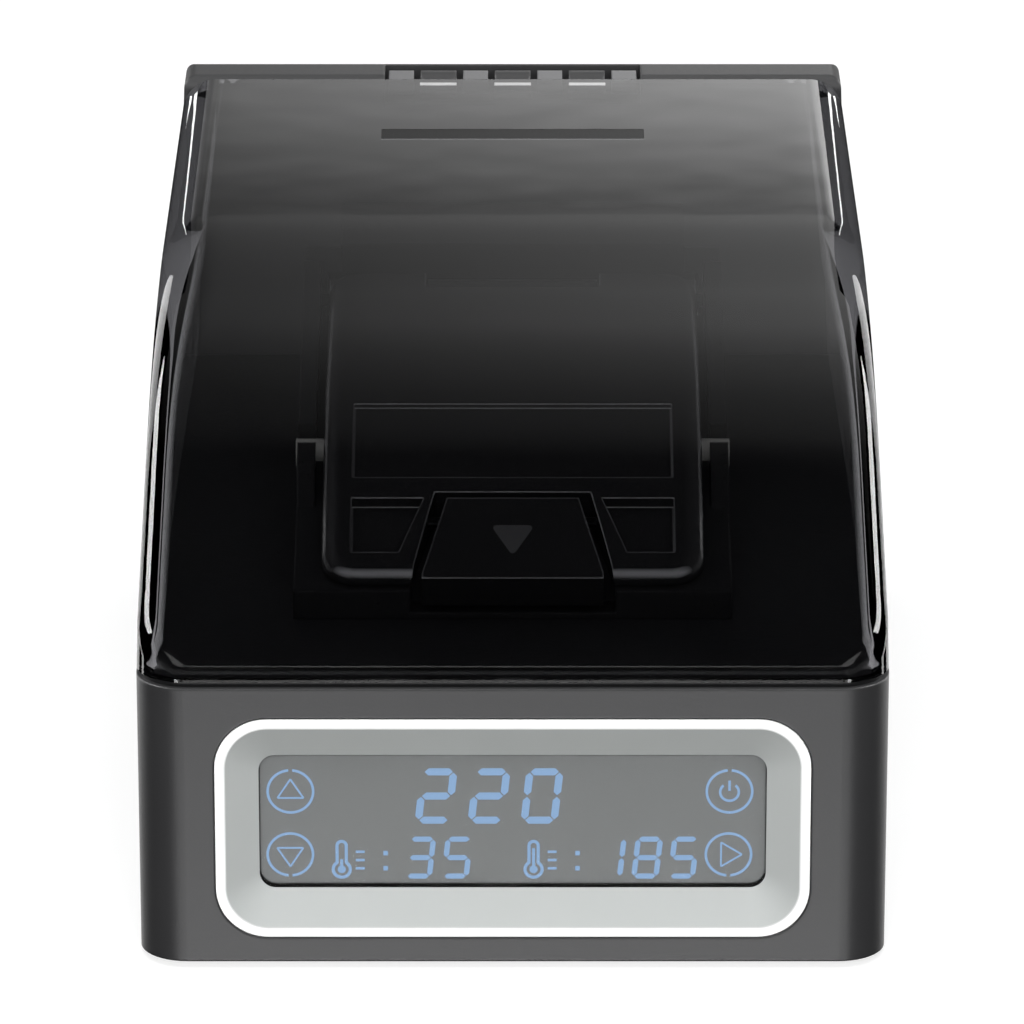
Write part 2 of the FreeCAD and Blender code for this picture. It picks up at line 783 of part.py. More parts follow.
def make_display_window():
    return box("display_window", (-window_half_x + s.bezel_clearance, window_half_x - s.bezel_clearance),
               (front + s.window_depth, window_back),
               (bezel_z - window_half_z + s.bezel_clearance, bezel_z + window_half_z - s.bezel_clearance))


def make_lcd_module():
    glass = box("lcd_glass", (-window_half_x + s.bezel_clearance, window_half_x - s.bezel_clearance),
                (window_back, touch_board_front()),
                (bezel_z - window_half_z + s.bezel_clearance, bezel_z + window_half_z - s.bezel_clearance))
    return round_edges("lcd_module", glass, s.bezel_clearance * 5, upright_edge_along_y)


def upright_edge_along_y(edge):
    ends = [vertex.Point for vertex in edge.Vertexes]
    return abs(ends[0].x - ends[1].x) < EXACT and abs(ends[0].z - ends[1].z) < EXACT


def make_touch_board():
    board = Body("touch_board")
    start = touch_board_front()
    half = s.touch_board_height / 2
    half_x = s.bezel_width / 2 - s.bezel_clearance * 5
    board.pad("XZ", start, start + s.board_thickness,
              square(-half_x, half_x, bezel_z - half, bezel_z + half))
    board.pocket("XZ", start, start + s.board_thickness,
                 circles=[(x, z, s.small_screw_radius + s.screw_clearance) for x, z in post_places()])
    plug = s.touch_board_height / 4
    board.pad("XZ", start + s.board_thickness, start + s.board_thickness * 3,
              square(-plug, plug, bezel_z - half / 3, bezel_z + half / 3))
    return board.body


def make_touch_board_screws():
    seat = touch_board_front() + s.board_thickness
    return group("touch_board_screws", [
        screw(f"touch_screw_{number}", "y", s.small_screw_radius, s.small_head_radius, s.small_head_height,
              s.small_screw_length, seat, place, -1)
        for number, place in enumerate(post_places())])


def make_control_board():
    board = Body("control_board")
    low = plate_top + s.standoff_height
    high = low + s.board_thickness
    half_x, half_y = s.control_width / 2, s.control_depth / 2
    board.pad("XY", low, high, square(-half_x, half_x, s.control_back - half_y, s.control_back + half_y))
    board.pocket("XY", low, high,
                 circles=[(x, y, s.small_screw_radius + s.screw_clearance) for x, y in standoff_places()])
    # terminal strip, power switch with its cooler, controller chip and two smoothing cans
    cell = s.control_width / 14
    board.pad("XY", high, high + cell * 2, square(cell * -3, cell * 3, s.control_back + cell * 2,
                                                  s.control_back + cell * 4))
    board.pad("XY", high, high + cell * 3, square(cell * -5, cell * -2, s.control_back - cell * 3,
                                                  s.control_back - cell * 1))
    board.pad("XY", high, high + s.board_thickness, square(cell * 1, cell * 3, s.control_back - cell * 3,
                                                           s.control_back - cell * 1))
    board.pad("XY", high, high + cell * 2.4,
              circles=[(cell * 4.6, s.control_back - cell * 2.8, cell * 0.8),
                       (cell * 4.6, s.control_back - cell * 0.6, cell * 0.8)])
    return board.body


def make_control_board_screws():
    seat = plate_top + s.standoff_height + s.board_thickness
    return group("control_board_screws", [
        screw(f"control_screw_{number}", "z", s.small_screw_radius, s.small_head_radius, s.small_head_height,
              s.small_screw_length, seat, place, -1)
        for number, place in enumerate(standoff_places())])


def make_dc_inlet():
    place = (s.inlet_side, shell_floor + s.inlet_rise)
    inside = rear - s.wall
    barrel = rod("inlet_barrel_tube", "y", s.inlet_barrel, inside, rear, place)
    body = rod("inlet_body_tube", "y", s.inlet_body, inside - s.inlet_length, inside, place)
    bore = rod("inlet_socket", "y", s.inlet_bore, rear - s.inlet_bore_depth, rear + REACH, place)
    pin = rod("inlet_contact", "y", s.inlet_pin, rear - s.inlet_bore_depth - REACH, rear - s.wall / 2, place)
    return fuse("dc_inlet", cut("inlet_hollow", fuse("inlet_built", barrel, body), bore), pin)


# Clamp pieces, drawn level in the clamp frame and then set on its slope
cradle_half = s.cradle_width / 2
cover_half = s.cover_width / 2
pin_w = -s.clamp_pin_drop
block_low = -s.block_height
heater_low = block_low - s.heater_height
pad_low = heater_low - s.pad_height
tube_half = cradle_half + s.tube_reach
groove_radius = s.tube_radius + s.running_clearance
barrel_room = s.clamp_barrel + s.body_gap


def make_clamp_cradle():
    turn, rise = cosine(s.clamp_angle), sine(s.clamp_angle)
    foot_front = clamp_y - s.cradle_front
    rear_y, rear_z = slope_place(s.cradle_length, as_size(0))
    near_z = clamp_z - (clamp_y - foot_front) * (rise / turn)
    wedge = extrude("cradle_wedge", "YZ", [
        (foot_front, deck), (rear_y, deck), (rear_y, rear_z), (foot_front, near_z)],
        -cradle_half, cradle_half)
    # the hollow under the heater's floor leaves a shell all round
    hollow_rear = rear_y - s.cradle_shell
    hollow_front = clamp_y + s.tube_at
    drop = s.cradle_floor / turn
    hollow = extrude("cradle_hollow", "YZ", [
        (hollow_front, deck - REACH), (hollow_rear, deck - REACH),
        (hollow_rear, clamp_z + (hollow_rear - clamp_y) * (rise / turn) - drop),
        (hollow_front, clamp_z + (hollow_front - clamp_y) * (rise / turn) - drop)],
        -cradle_half + s.cradle_shell * 3, cradle_half - s.cradle_shell * 3)
    cheeks = []
    for number, sign in enumerate((-1, 1)):
        low = cradle_half - s.cheek if sign > 0 else -cradle_half
        cheeks.append(on_slope(extrude(f"cradle_cheek_{number}", "YZ", [
            (s.cheek_start, -REACH), (s.cheek_end, -REACH), (s.cheek_end, s.cheek_height),
            (s.cheek_start + s.cheek_height * 2, s.cheek_height)], low, low + s.cheek)))
    tower = on_slope(box("cradle_tower", (-s.tower_width / 2, s.tower_width / 2),
                         (s.tower_start, s.tower_start + s.tower_length), (-s.clamp_barrel, s.tower_height)))
    tools = [hollow]
    pocket_x = s.block_width / 2 + s.block_clearance
    pocket_u = s.block_length / 2 + s.block_clearance
    tools.append(on_slope(box("cradle_pocket", (-pocket_x, pocket_x),
                              (s.tube_at - pocket_u, s.tube_at + pocket_u), (pad_low, s.cheek_height))))
    tools.append(on_slope(rod("cradle_groove", "x", groove_radius, -tube_half, tube_half, (s.tube_at, 0))))
    tools.append(on_slope(box("cradle_tube_slot", (-tube_half, tube_half),
                              (s.tube_at - groove_radius, s.tube_at + groove_radius),
                              (0, s.cheek_height + REACH))))
    tools.append(on_slope(box("cradle_barrel_room", (-cover_half - s.body_gap, cover_half + s.body_gap),
                              (s.clamp_pin_at - barrel_room, s.tower_start),
                              (pin_w - barrel_room, s.clamp_barrel))))
    tools.append(on_slope(rod("cradle_wire_hole", "z", s.wire_hole_radius / 2, -s.cradle_floor - REACH,
                              pad_low + REACH, (0, s.tube_at + s.block_length * 0.4))))
    tools.append(box("cradle_latch_notch", (-s.latch_foot - s.latch_slot, s.latch_foot + s.latch_slot),
                     (foot_front - REACH, foot_front + s.latch_notch),
                     (deck + REACH, clamp_z + s.latch_notch)))
    tools += [rod(f"cradle_screw_hole_{number}", "z", s.screw_radius + s.screw_clearance, deck - REACH,
                  deck + s.cradle_screw_grip + REACH, place)
              for number, place in enumerate(cradle_screw_places())]
    shaped = cut("cradle_shaped", fuse("cradle_outer", wedge, *cheeks, tower), *tools)
    half = s.centre_knuckle / 2
    knuckle = on_slope(rod("cradle_knuckle", "x", s.clamp_barrel, -half, half, (s.clamp_pin_at, pin_w)))
    web = on_slope(box("cradle_knuckle_web", (-half, half),
                       (s.clamp_pin_at - s.clamp_barrel, s.clamp_pin_at + s.clamp_barrel),
                       (pin_w - barrel_room - REACH, pin_w)))
    catch_y = foot_front + s.latch_notch
    catch = rod("cradle_catch", "x", s.catch_radius, -s.latch_top, s.latch_top,
                (catch_y, clamp_z - s.catch_radius * 2))
    bore = on_slope(rod("cradle_pin_bore", "x", s.clamp_pin_radius, -cradle_half, cradle_half,
                        (s.clamp_pin_at, pin_w)))
    return cut("clamp_cradle", fuse("cradle_built", shaped, knuckle, web, catch), bore)


def make_heater_stack():
    half_x, half_u = s.block_width / 2, s.block_length / 2
    low, high = s.tube_at - half_u, s.tube_at + half_u
    block = box("heater_blank", (-half_x, half_x), (low, high), (block_low, 0))
    groove = rod("heater_groove", "x", groove_radius, -half_x - REACH, half_x + REACH, (s.tube_at, 0))
    probe_place = (s.tube_at + s.probe_at, -s.probe_drop)
    bore = rod("probe_bore", "x", s.probe_radius + s.running_clearance, half_x - s.probe_length,
               half_x + REACH, probe_place)
    return {
        "heater_block": on_slope(cut("heater_block", block, groove, bore)),
        "temperature_probe": on_slope(rod("temperature_probe", "x", s.probe_radius, half_x - s.probe_length,
                                          half_x, probe_place)),
        "heater_plate": on_slope(box("heater_plate", (-half_x + REACH, half_x - REACH),
                                     (low + REACH, high - REACH), (heater_low, block_low))),
        "insulation_pad": on_slope(box("insulation_pad", (-half_x, half_x), (low, high),
                                       (pad_low, heater_low))),
    }


def make_filament_tube():
    outer = rod("tube_outer", "x", s.tube_radius, -tube_half, tube_half, (s.tube_at, 0))
    bore = rod("tube_channel", "x", s.tube_bore, -tube_half - REACH, tube_half + REACH, (s.tube_at, 0))
    return on_slope(cut("filament_tube", outer, bore))


def make_clamp_hinge_pin():
    return on_slope(rod("clamp_hinge_pin", "x", s.clamp_pin_radius, -cradle_half, cradle_half,
                        (s.clamp_pin_at, pin_w)))


def crown_arc():
    """Centre of the cover's crown, an arc level at its highest point and through its front edge."""
    run, climb = s.cover_crown_at, s.cover_crown - s.cover_front
    radius = (run * run + climb * climb) / (climb * 2)
    return (s.cover_crown_at, s.cover_crown - radius), radius


def crown_height(along):
    (centre_u, centre_w), radius = crown_arc()
    reach = along - centre_u
    return centre_w + root(radius * radius - reach * reach)


def crown_recess(start, finish, depth):
    """Side view of a recess whose floor follows the crown."""
    above = s.cover_crown + REACH
    return [(start, crown_height(start) - depth), (finish, crown_height(finish) - depth),
            (finish, above), (start, above)]


def make_clamp_cover():
    centre, radius = crown_arc()
    gap = s.cover_gap
    rear_w = crown_height(s.cover_length)
    form = extrude("cover_form", "YZ", [
        (0, gap), (s.cover_length, gap), (s.cover_length, rear_w),
        ((0, s.cover_front), centre, 1)], -cover_half, cover_half)
    plan = extrude("cover_plan", "XY", rounded(cover_half, s.cover_length / 2, s.cover_edge * 2,
                                               0, s.cover_length / 2), 0, s.cover_crown + REACH)
    both = overlap("cover_both", form, plan)
    rounded_form = round_edges("cover_rounded", both, s.cover_edge, is_crown_side)
    barrel = rod("cover_barrel", "x", s.clamp_barrel, -cover_half, cover_half, (s.clamp_pin_at, pin_w))
    outer = fuse("cover_outer", rounded_form, barrel)
    half_x = s.block_width / 2 + s.block_clearance
    half_u = s.block_length / 2 + s.block_clearance
    knuckle_half = s.centre_knuckle / 2 + s.body_gap
    slot = s.latch_slot
    latch_gap_end = s.latch_length + slot * 0.6
    tools = [
        box("cover_press_seat", (-half_x, half_x), (s.tube_at - half_u, s.tube_at + half_u),
            (-REACH, gap + s.press_height)),
        rod("cover_tube_groove", "x", s.tube_radius + s.body_gap, -side, side, (s.tube_at, 0)),
        box("cover_knuckle_gap", (-knuckle_half, knuckle_half),
            (s.clamp_pin_at - barrel_room, s.cover_length + REACH), (pin_w - barrel_room, s.cover_crown)),
        rod("cover_pin_bore", "x", s.clamp_pin_radius + s.running_clearance, -side, side,
            (s.clamp_pin_at, pin_w)),
        extrude("cover_latch_gap", "XY", [
            (-s.latch_foot - slot, -REACH), (s.latch_foot + slot, -REACH),
            (s.latch_top + slot, latch_gap_end), (-s.latch_top - slot, latch_gap_end)],
            -REACH, s.cover_crown),
        rod("cover_latch_bore", "x", s.latch_pin_radius, -s.latch_pin_half, s.latch_pin_half,
            (s.latch_pin_at, s.latch_pin_rise)),
        box("cover_spring_seat", (-s.spring_width / 2, s.spring_width / 2), (s.latch_length, s.spring_end),
            (0, gap + s.spring_thickness)),
        extrude("cover_panel", "YZ", crown_recess(s.panel_start, s.panel_end, s.panel_depth),
                -s.panel_width / 2, s.panel_width / 2),
    ]
    for number, sign in enumerate((-1, 1)):
        outer_x = signed(sign, s.pocket_outer)
        near_x = signed(sign, s.latch_foot + slot * 2)
        far_x = signed(sign, s.latch_top + slot * 2)
        tools.append(overlap(
            f"cover_pocket_{number}",
            extrude(f"pocket_plan_{number}", "XY", [
                (near_x, s.pocket_start), (outer_x, s.pocket_start), (outer_x, s.pocket_end),
                (far_x, s.pocket_end)], 0, s.cover_crown + REACH),
            extrude(f"pocket_profile_{number}", "YZ",
                    crown_recess(s.pocket_start, s.pocket_end, s.pocket_depth), -side, side)))
    return on_slope(cut("clamp_cover", outer, *tools))


def is_crown_side(edge):
    """The two long edges where the crown meets the cover's sides."""
    middle = edge.BoundBox.Center
    long_enough = edge.BoundBox.YLength > s.cover_length.value / 2
    return long_enough and abs(middle.x) > cover_half.value - 0.01 and middle.z > s.cover_front.value


def make_pressure_plate():
    half_x, half_u = s.block_width / 2, s.block_length / 2
    blank = box("press_blank", (-half_x, half_x), (s.tube_at - half_u, s.tube_at + half_u),
                (s.cover_gap, s.cover_gap + s.press_height))
    groove = rod("press_groove", "x", s.tube_radius + s.body_gap, -half_x - REACH, half_x + REACH,
                 (s.tube_at, 0))
    return on_slope(cut("pressure_plate", blank, groove))


def make_latch_tab():
    lip = s.latch_leg
    tip = s.latch_drop
    top_w = crown_height(s.latch_length)
    profile = extrude("latch_profile", "YZ", [
        (-lip / 2, s.cover_front), (-lip / 2, -tip), (lip / 2 + s.latch_tooth, -tip),
        (lip / 2, -tip + s.latch_tooth), (lip / 2, s.latch_underside), (s.latch_length, s.latch_underside),
        (s.latch_length, top_w), (0, s.cover_front + s.panel_depth / 2)], -side, side)
    plan = extrude("latch_plan", "XY", [
        (-s.latch_foot, -lip), (s.latch_foot, -lip), (s.latch_foot, 0), (s.latch_top, s.latch_length),
        (-s.latch_top, s.latch_length), (-s.latch_foot, 0)], -tip - REACH, s.cover_crown)
    bore = rod("latch_bore", "x", s.latch_pin_radius + s.running_clearance, -side, side,
               (s.latch_pin_at, s.latch_pin_rise))
    return on_slope(cut("latch_tab", overlap("latch_form", profile, plan), bore))


def make_latch_pin():
    return on_slope(rod("latch_pin", "x", s.latch_pin_radius, -s.latch_pin_half, s.latch_pin_half,
                        (s.latch_pin_at, s.latch_pin_rise)))


def make_latch_leaf_spring():
    low = s.cover_gap
    return on_slope(box("latch_leaf_spring", (-s.spring_width / 2, s.spring_width / 2),
                        (s.spring_tip, s.spring_end), (low, low + s.spring_thickness)))


nodes = {
    "base_shell": make_base_shell(),
    "bottom_plate": make_bottom_plate(),
    "bottom_screws": make_bottom_screws(),
    "rubber_feet": make_rubber_feet(),
    "top_deck": make_top_deck(),
    "display_bezel": make_display_bezel(),
    "display_window": make_display_window(),
    "lcd_module": make_lcd_module(),
    "touch_board": make_touch_board(),
    "touch_board_screws": make_touch_board_screws(),
    "control_board": make_control_board(),
    "control_board_screws": make_control_board_screws(),
    "dc_inlet": make_dc_inlet(),
    "lid": make_lid(),
    "lid_hinge_pin": make_lid_hinge_pin(),
    "clamp_cradle": make_clamp_cradle(),
    "cradle_screws": make_cradle_screws(),
    **make_heater_stack(),
    "filament_tube": make_filament_tube(),
    "clamp_hinge_pin": make_clamp_hinge_pin(),
    "clamp_cover": make_clamp_cover(),
    "pressure_plate": make_pressure_plate(),
    "latch_tab": make_latch_tab(),
    "latch_pin": make_latch_pin(),
    "latch_leaf_spring": make_latch_leaf_spring(),
}

for name, node in nodes.items():
    node.Label = name
doc.recompute()

for thing in doc.Objects:
    if "Invalid" in thing.State or "Error" in thing.State:
        raise RuntimeError(f"{thing.Name} failed: {thing.State}")
for name, node in nodes.items():
    if node.Shape.isNull() or not node.Shape.isValid() or not node.Shape.Solids:
        raise RuntimeError(f"{name} has no valid solid")

os.makedirs("parts", exist_ok=True)
for name, node in nodes.items():
    node.Shape.exportStep(f"parts/{name}.step")
    extent = node.Shape.BoundBox
    print(f"{name}: {len(node.Shape.Solids)} solids, {node.Shape.Volume / 1000:.2f} cm3, "
          f"{extent.XLength:.1f} x {extent.YLength:.1f} x {extent.ZLength:.1f} mm")
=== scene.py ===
import math
import bpy
import numpy as np
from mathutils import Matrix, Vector


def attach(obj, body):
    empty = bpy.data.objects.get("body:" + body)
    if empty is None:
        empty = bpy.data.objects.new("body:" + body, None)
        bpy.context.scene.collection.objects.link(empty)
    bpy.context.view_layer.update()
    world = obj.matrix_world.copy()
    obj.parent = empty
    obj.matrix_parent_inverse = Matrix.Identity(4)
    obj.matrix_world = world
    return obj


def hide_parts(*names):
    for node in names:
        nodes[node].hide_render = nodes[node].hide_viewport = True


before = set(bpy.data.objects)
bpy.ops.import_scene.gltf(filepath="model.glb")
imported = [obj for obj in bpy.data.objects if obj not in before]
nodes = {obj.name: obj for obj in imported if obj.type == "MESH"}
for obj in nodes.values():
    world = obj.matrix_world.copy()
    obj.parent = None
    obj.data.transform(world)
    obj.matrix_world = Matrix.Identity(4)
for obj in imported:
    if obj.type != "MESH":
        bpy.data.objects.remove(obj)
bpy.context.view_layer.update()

scene = bpy.context.scene
mm = 0.001

# Main places of the housing in millimetres: feet on z 0, front face on y -72.5.
housing = {
    "front": -72.5, "side": 50.3, "corner": 6.5, "deck": 41.3, "top": 83.5,
    "lidRear": 64.0, "hingeY": 68.1, "hingeZ": 80.9, "displayZ": 20.3,
}


def toLinear(hexColour):
    # sRGB hex to linear light
    parts = [int(hexColour[i:i + 2], 16) / 255 for i in (1, 3, 5)]
    return tuple(c / 12.92 if c <= 0.04045 else ((c + 0.055) / 1.055) ** 2.4 for c in parts) + (1.0,)


def addNode(tree, kind, inputs=None, **settings):
    # one shader node with its settings; an input takes a value, a socket or another node's first output
    node = tree.nodes.new("ShaderNode" + kind)
    for key, value in settings.items():
        setattr(node, key, value)
    for key, value in (inputs or {}).items():
        if isinstance(value, bpy.types.Node):
            value = value.outputs[0]
        if isinstance(value, bpy.types.NodeSocket):
            tree.links.new(value, node.inputs[key])
        else:
            node.inputs[key].default_value = value
    return node


def newMaterial(name):
    material = bpy.data.materials.new(name)
    material.use_nodes = True
    material.node_tree.nodes.clear()
    return material, material.node_tree


def noiseAt(tree, sizeMm, detail, stretch=None):
    # uneven pattern with marks about sizeMm across, on the piece's own coordinates
    place = addNode(tree, "TexCoord").outputs["Object"]
    if stretch:
        place = addNode(tree, "VectorMath", {0: place, 1: stretch}, operation="MULTIPLY")
    noise = addNode(tree, "TexNoise", {"Vector": place, "Scale": 1000 / sizeMm, "Detail": detail})
    return noise.outputs["Fac"]


# Painted highlight on black mouldings, as from and to values: cosine of the softened turn, how far a face
# looks up, how far it rolls to the front, and how far an edge leans to the front.
paintedHighlightRule = {"turn": (0.99, 0.86), "upward": (0.1, 0.3), "rolled": (-0.78, -0.9), "rolledMost": 0.58,
       "lean": (0.06, -0.2), "leanLeast": 0.2}


def paintedHighlightShare(tree, edges):
    # painted highlight: paler where the softened normal turns away from the true one, most on edges that
    # lean to the front, or where a face rolls over to the front, and in both cases only on faces that look up
    straight = addNode(tree, "NewGeometry").outputs["Normal"]
    facing = addNode(tree, "SeparateXYZ", {0: straight})
    turn = addNode(tree, "VectorMath", {0: edges, 1: straight}, operation="DOT_PRODUCT").outputs["Value"]
    change = addNode(tree, "VectorMath", {0: edges, 1: straight}, operation="SUBTRACT")
    lean = addNode(tree, "SeparateXYZ", {0: change}).outputs[1]
    turned, leaning, rolled, upward = (
        addNode(tree, "MapRange", {"Value": value, "From Min": paintedHighlightRule[key][0], "From Max": paintedHighlightRule[key][1],
                                   "To Min": least, "To Max": most})
        for key, value, least, most in (
            ("turn", turn, 0.0, 1.0), ("lean", lean, paintedHighlightRule["leanLeast"], 1.0),
            ("rolled", facing.outputs[1], 0.0, paintedHighlightRule["rolledMost"]), ("upward", facing.outputs[2], 0.0, 1.0)))
    edge = addNode(tree, "Math", {0: turned, 1: leaning}, operation="MULTIPLY")
    either = addNode(tree, "Math", {0: edge, 1: rolled}, operation="MAXIMUM")
    return addNode(tree, "Math", {0: either, 1: upward}, operation="MULTIPLY")


moulding = {"mottleGrains": 40, "roughSpread": 0.06}


def plastic(name, dark, light, grainMm, bumpMm, roughness, edgeMm, specular=0.5, paintedHighlightColour=None):
    # moulded plastic: mottled colour, spark-eroded grain as bump, softened edges, and on some a painted
    # highlight
    material, tree = newMaterial(name)
    mottle = noiseAt(tree, grainMm * moulding["mottleGrains"], 3.0)
    grain = noiseAt(tree, grainMm, 2.0)
    colour = addNode(tree, "Mix", {0: mottle, 6: toLinear(dark), 7: toLinear(light)}, data_type="RGBA")
    edges = addNode(tree, "Bevel", {"Radius": edgeMm * mm}, samples=8)
    # painted highlight mixed into the colour on chosen edges and front rolls
    if paintedHighlightColour:
        colour = addNode(tree, "Mix", {0: paintedHighlightShare(tree, edges), 6: colour.outputs[2],
                                       7: toLinear(paintedHighlightColour)}, data_type="RGBA")
    bump = addNode(tree, "Bump", {"Height": grain, "Distance": bumpMm * mm, "Strength": 1.0, "Normal": edges})
    uneven = addNode(tree, "MapRange", {"Value": grain, "To Min": roughness - moulding["roughSpread"],
                                        "To Max": roughness + moulding["roughSpread"]})
    shader = addNode(tree, "BsdfPrincipled", {"Base Color": colour.outputs[2], "Roughness": uneven,
                                              "Specular IOR Level": specular, "Normal": bump})
    addNode(tree, "OutputMaterial", {"Surface": shader})
    return material


def metal(name, dark, light, brushMm, roughness, stretch):
    # drawn or machined metal: fine lines along one axis, duller where the lines are pale
    material, tree = newMaterial(name)
    lines = noiseAt(tree, brushMm, 3.0, stretch)
    colour = addNode(tree, "Mix", {0: lines, 6: toLinear(dark), 7: toLinear(light)}, data_type="RGBA")
    bump = addNode(tree, "Bump", {"Height": lines, "Distance": 0.01 * mm, "Strength": 1.0})
    uneven = addNode(tree, "MapRange", {"Value": lines, "To Min": roughness - 0.08,
                                        "To Max": roughness + 0.1})
    shader = addNode(tree, "BsdfPrincipled", {"Base Color": colour.outputs[2], "Metallic": 1.0,
                                              "Roughness": uneven, "Normal": bump})
    addNode(tree, "OutputMaterial", {"Surface": shader})
    return material


smokeLook = {"wallMm": 2.4, "passing": 0.52, "rippleMm": 14.0, "rippleDeepMm": 0.02, "lipTopMm": 43.6,
             "fadeMm": 4.0, "streakMm": 3.0, "streakRough": 0.012, "ior": 1.49}


def smokedGlass(name):
    # dyed moulding that bends light and swallows it on the way: the density is minus the logarithm of the
    # share that one wall lets pass, over the wall; faint ripples fade out towards the lip
    material, tree = newMaterial(name)
    place = addNode(tree, "TexCoord").outputs["Object"]
    lipTop, fadeEnd = smokeLook["lipTopMm"] * mm, (smokeLook["lipTopMm"] + smokeLook["fadeMm"]) * mm
    aboveLip = addNode(tree, "MapRange", {"Value": addNode(tree, "SeparateXYZ", {0: place}).outputs[2],
                                          "From Min": lipTop, "From Max": fadeEnd})
    ripple = addNode(tree, "Math", {0: noiseAt(tree, smokeLook["rippleMm"], 1.0), 1: aboveLip},
                     operation="MULTIPLY")
    bump = addNode(tree, "Bump", {"Height": ripple, "Distance": smokeLook["rippleDeepMm"] * mm,
                                  "Strength": 1.0})
    streaks = addNode(tree, "MapRange", {"Value": noiseAt(tree, smokeLook["streakMm"], 3.0),
                                         "To Min": 0.0, "To Max": smokeLook["streakRough"]})
    glass = addNode(tree, "BsdfPrincipled", {
        "Base Color": toLinear("#fdfdfd"), "Transmission Weight": 1.0, "IOR": smokeLook["ior"],
        "Roughness": streaks, "Normal": bump})
    shadow = addNode(tree, "LightPath").outputs["Is Shadow Ray"]
    shader = addNode(tree, "MixShader", {0: shadow, 1: glass, 2: addNode(tree, "BsdfTransparent")})
    smoky = addNode(tree, "VolumeAbsorption", {
        "Color": toLinear("#000030"),
        "Density": -math.log(smokeLook["passing"]) / (smokeLook["wallMm"] * mm)})
    addNode(tree, "OutputMaterial", {"Surface": shader, "Volume": smoky})
    return material


def clearSheet(name, tint, gloss):
    # thin clear sheet: see-through, with a mirror skin on its outside that grows at grazing angles
    material, tree = newMaterial(name)
    smears = addNode(tree, "MapRange", {"Value": noiseAt(tree, 6.0, 3.0), "To Min": gloss,
                                        "To Max": gloss * 3})
    seeThrough = addNode(tree, "BsdfTransparent", {"Color": toLinear(tint)})
    skin = addNode(tree, "BsdfGlossy", {"Roughness": smears})
    inside = addNode(tree, "NewGeometry").outputs["Backfacing"]
    outside = addNode(tree, "Math", {0: 1.0, 1: inside}, operation="SUBTRACT")
    mirror = addNode(tree, "Math", {0: addNode(tree, "Fresnel", {"IOR": 1.25}), 1: outside},
                     operation="MULTIPLY")
    shader = addNode(tree, "MixShader", {0: mirror, 1: seeThrough, 2: skin})
    addNode(tree, "OutputMaterial", {"Surface": shader})
    return material


def glowing(name, hexColour, dimmest):
    # lit display marks: even light with a faint printed grain
    material, tree = newMaterial(name)
    bright = toLinear(hexColour)
    dim = tuple(c * dimmest for c in bright)
    colour = addNode(tree, "Mix", {0: noiseAt(tree, 0.25, 2.0), 6: dim, 7: bright}, data_type="RGBA")
    shader = addNode(tree, "Emission", {"Color": colour.outputs[2], "Strength": 1.0})
    addNode(tree, "OutputMaterial", {"Surface": shader})
    return material


def outlineDistance(tree, halfX, halfZ, radius):
    # millimetres outside a rounded rectangle round the display's centre, less than 0 inside it: how far a
    # point lies beyond the corner centres, or the lesser depth where it lies within them, less the radius
    place = addNode(tree, "TexCoord").outputs["Object"]
    flat = addNode(tree, "VectorMath", {0: place, 1: (1000, 0, 1000)}, operation="MULTIPLY")
    centred = addNode(tree, "VectorMath", {0: flat, 1: (0, 0, housing["displayZ"])}, operation="SUBTRACT")
    mirrored = addNode(tree, "VectorMath", {0: centred}, operation="ABSOLUTE")
    over = addNode(tree, "VectorMath", {0: mirrored, 1: (halfX - radius, 0, halfZ - radius)},
                   operation="SUBTRACT")
    beyond = addNode(tree, "VectorMath", {0: over, 1: (0, 0, 0)}, operation="MAXIMUM")
    length = addNode(tree, "VectorMath", {0: beyond}, operation="LENGTH").outputs["Value"]
    sides = addNode(tree, "SeparateXYZ", {0: over})
    larger = addNode(tree, "Math", {0: sides.outputs[0], 1: sides.outputs[2]}, operation="MAXIMUM")
    within = addNode(tree, "Math", {0: larger, 1: 0.0}, operation="MINIMUM")
    both = addNode(tree, "Math", {0: length, 1: within}, operation="ADD")
    return addNode(tree, "Math", {0: both, 1: radius}, operation="SUBTRACT")


def borderedPlastic(name, inside, border, outline, softMm, roughness):
    # plastic whose colour changes at a rounded outline round the display, with a faint mottle over both
    material, tree = newMaterial(name)
    grain = noiseAt(tree, 0.35, 2.0)
    mask = addNode(tree, "MapRange", {"Value": outlineDistance(tree, *outline),
                                      "From Min": -softMm, "From Max": softMm})
    colour = addNode(tree, "Mix", {0: mask, 6: toLinear(inside), 7: toLinear(border)}, data_type="RGBA")
    mottle = addNode(tree, "MapRange", {"Value": noiseAt(tree, 9.0, 2.0), "To Min": 0.0, "To Max": 0.05})
    mottled = addNode(tree, "Mix", {0: mottle, 6: colour.outputs[2], 7: toLinear("#000000")},
                      data_type="RGBA")
    bump = addNode(tree, "Bump", {"Height": grain, "Distance": 0.0006 * mm, "Strength": 1.0})
    uneven = addNode(tree, "MapRange", {"Value": grain, "To Min": roughness - 0.05,
                                        "To Max": roughness + 0.05})
    shader = addNode(tree, "BsdfPrincipled", {"Base Color": mottled.outputs[2], "Roughness": uneven,
                                              "Specular IOR Level": 0.15, "Normal": bump})
    addNode(tree, "OutputMaterial", {"Surface": shader})
    return material


def dress(material, *names):
    for name in names:
        data = nodes[name].data
        data.materials.clear()
        data.materials.append(material)


def meshPiece(name, points, faces, material, body, slot, smooth=False):
    # points in millimetres in the frame's own axes
    mesh = bpy.data.meshes.new(name)
    mesh.from_pydata((points * mm).tolist(), [], faces)
    mesh.update()
    mesh.polygons.foreach_set("use_smooth", np.full(len(mesh.polygons), smooth))
    mesh.materials.append(material)
    piece = bpy.data.objects.new(name, mesh)
    scene.collection.objects.link(piece)
    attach(piece, body)
    return piece


def gridFaces(rows, columns, offset=0):
    # quads of a rows by columns grid of points, row after row
    first = offset + np.arange(rows - 1)[:, None] * columns + np.arange(columns - 1)
    return np.stack([first, first + 1, first + 1 + columns, first + columns], axis=-1).reshape(-1, 4)


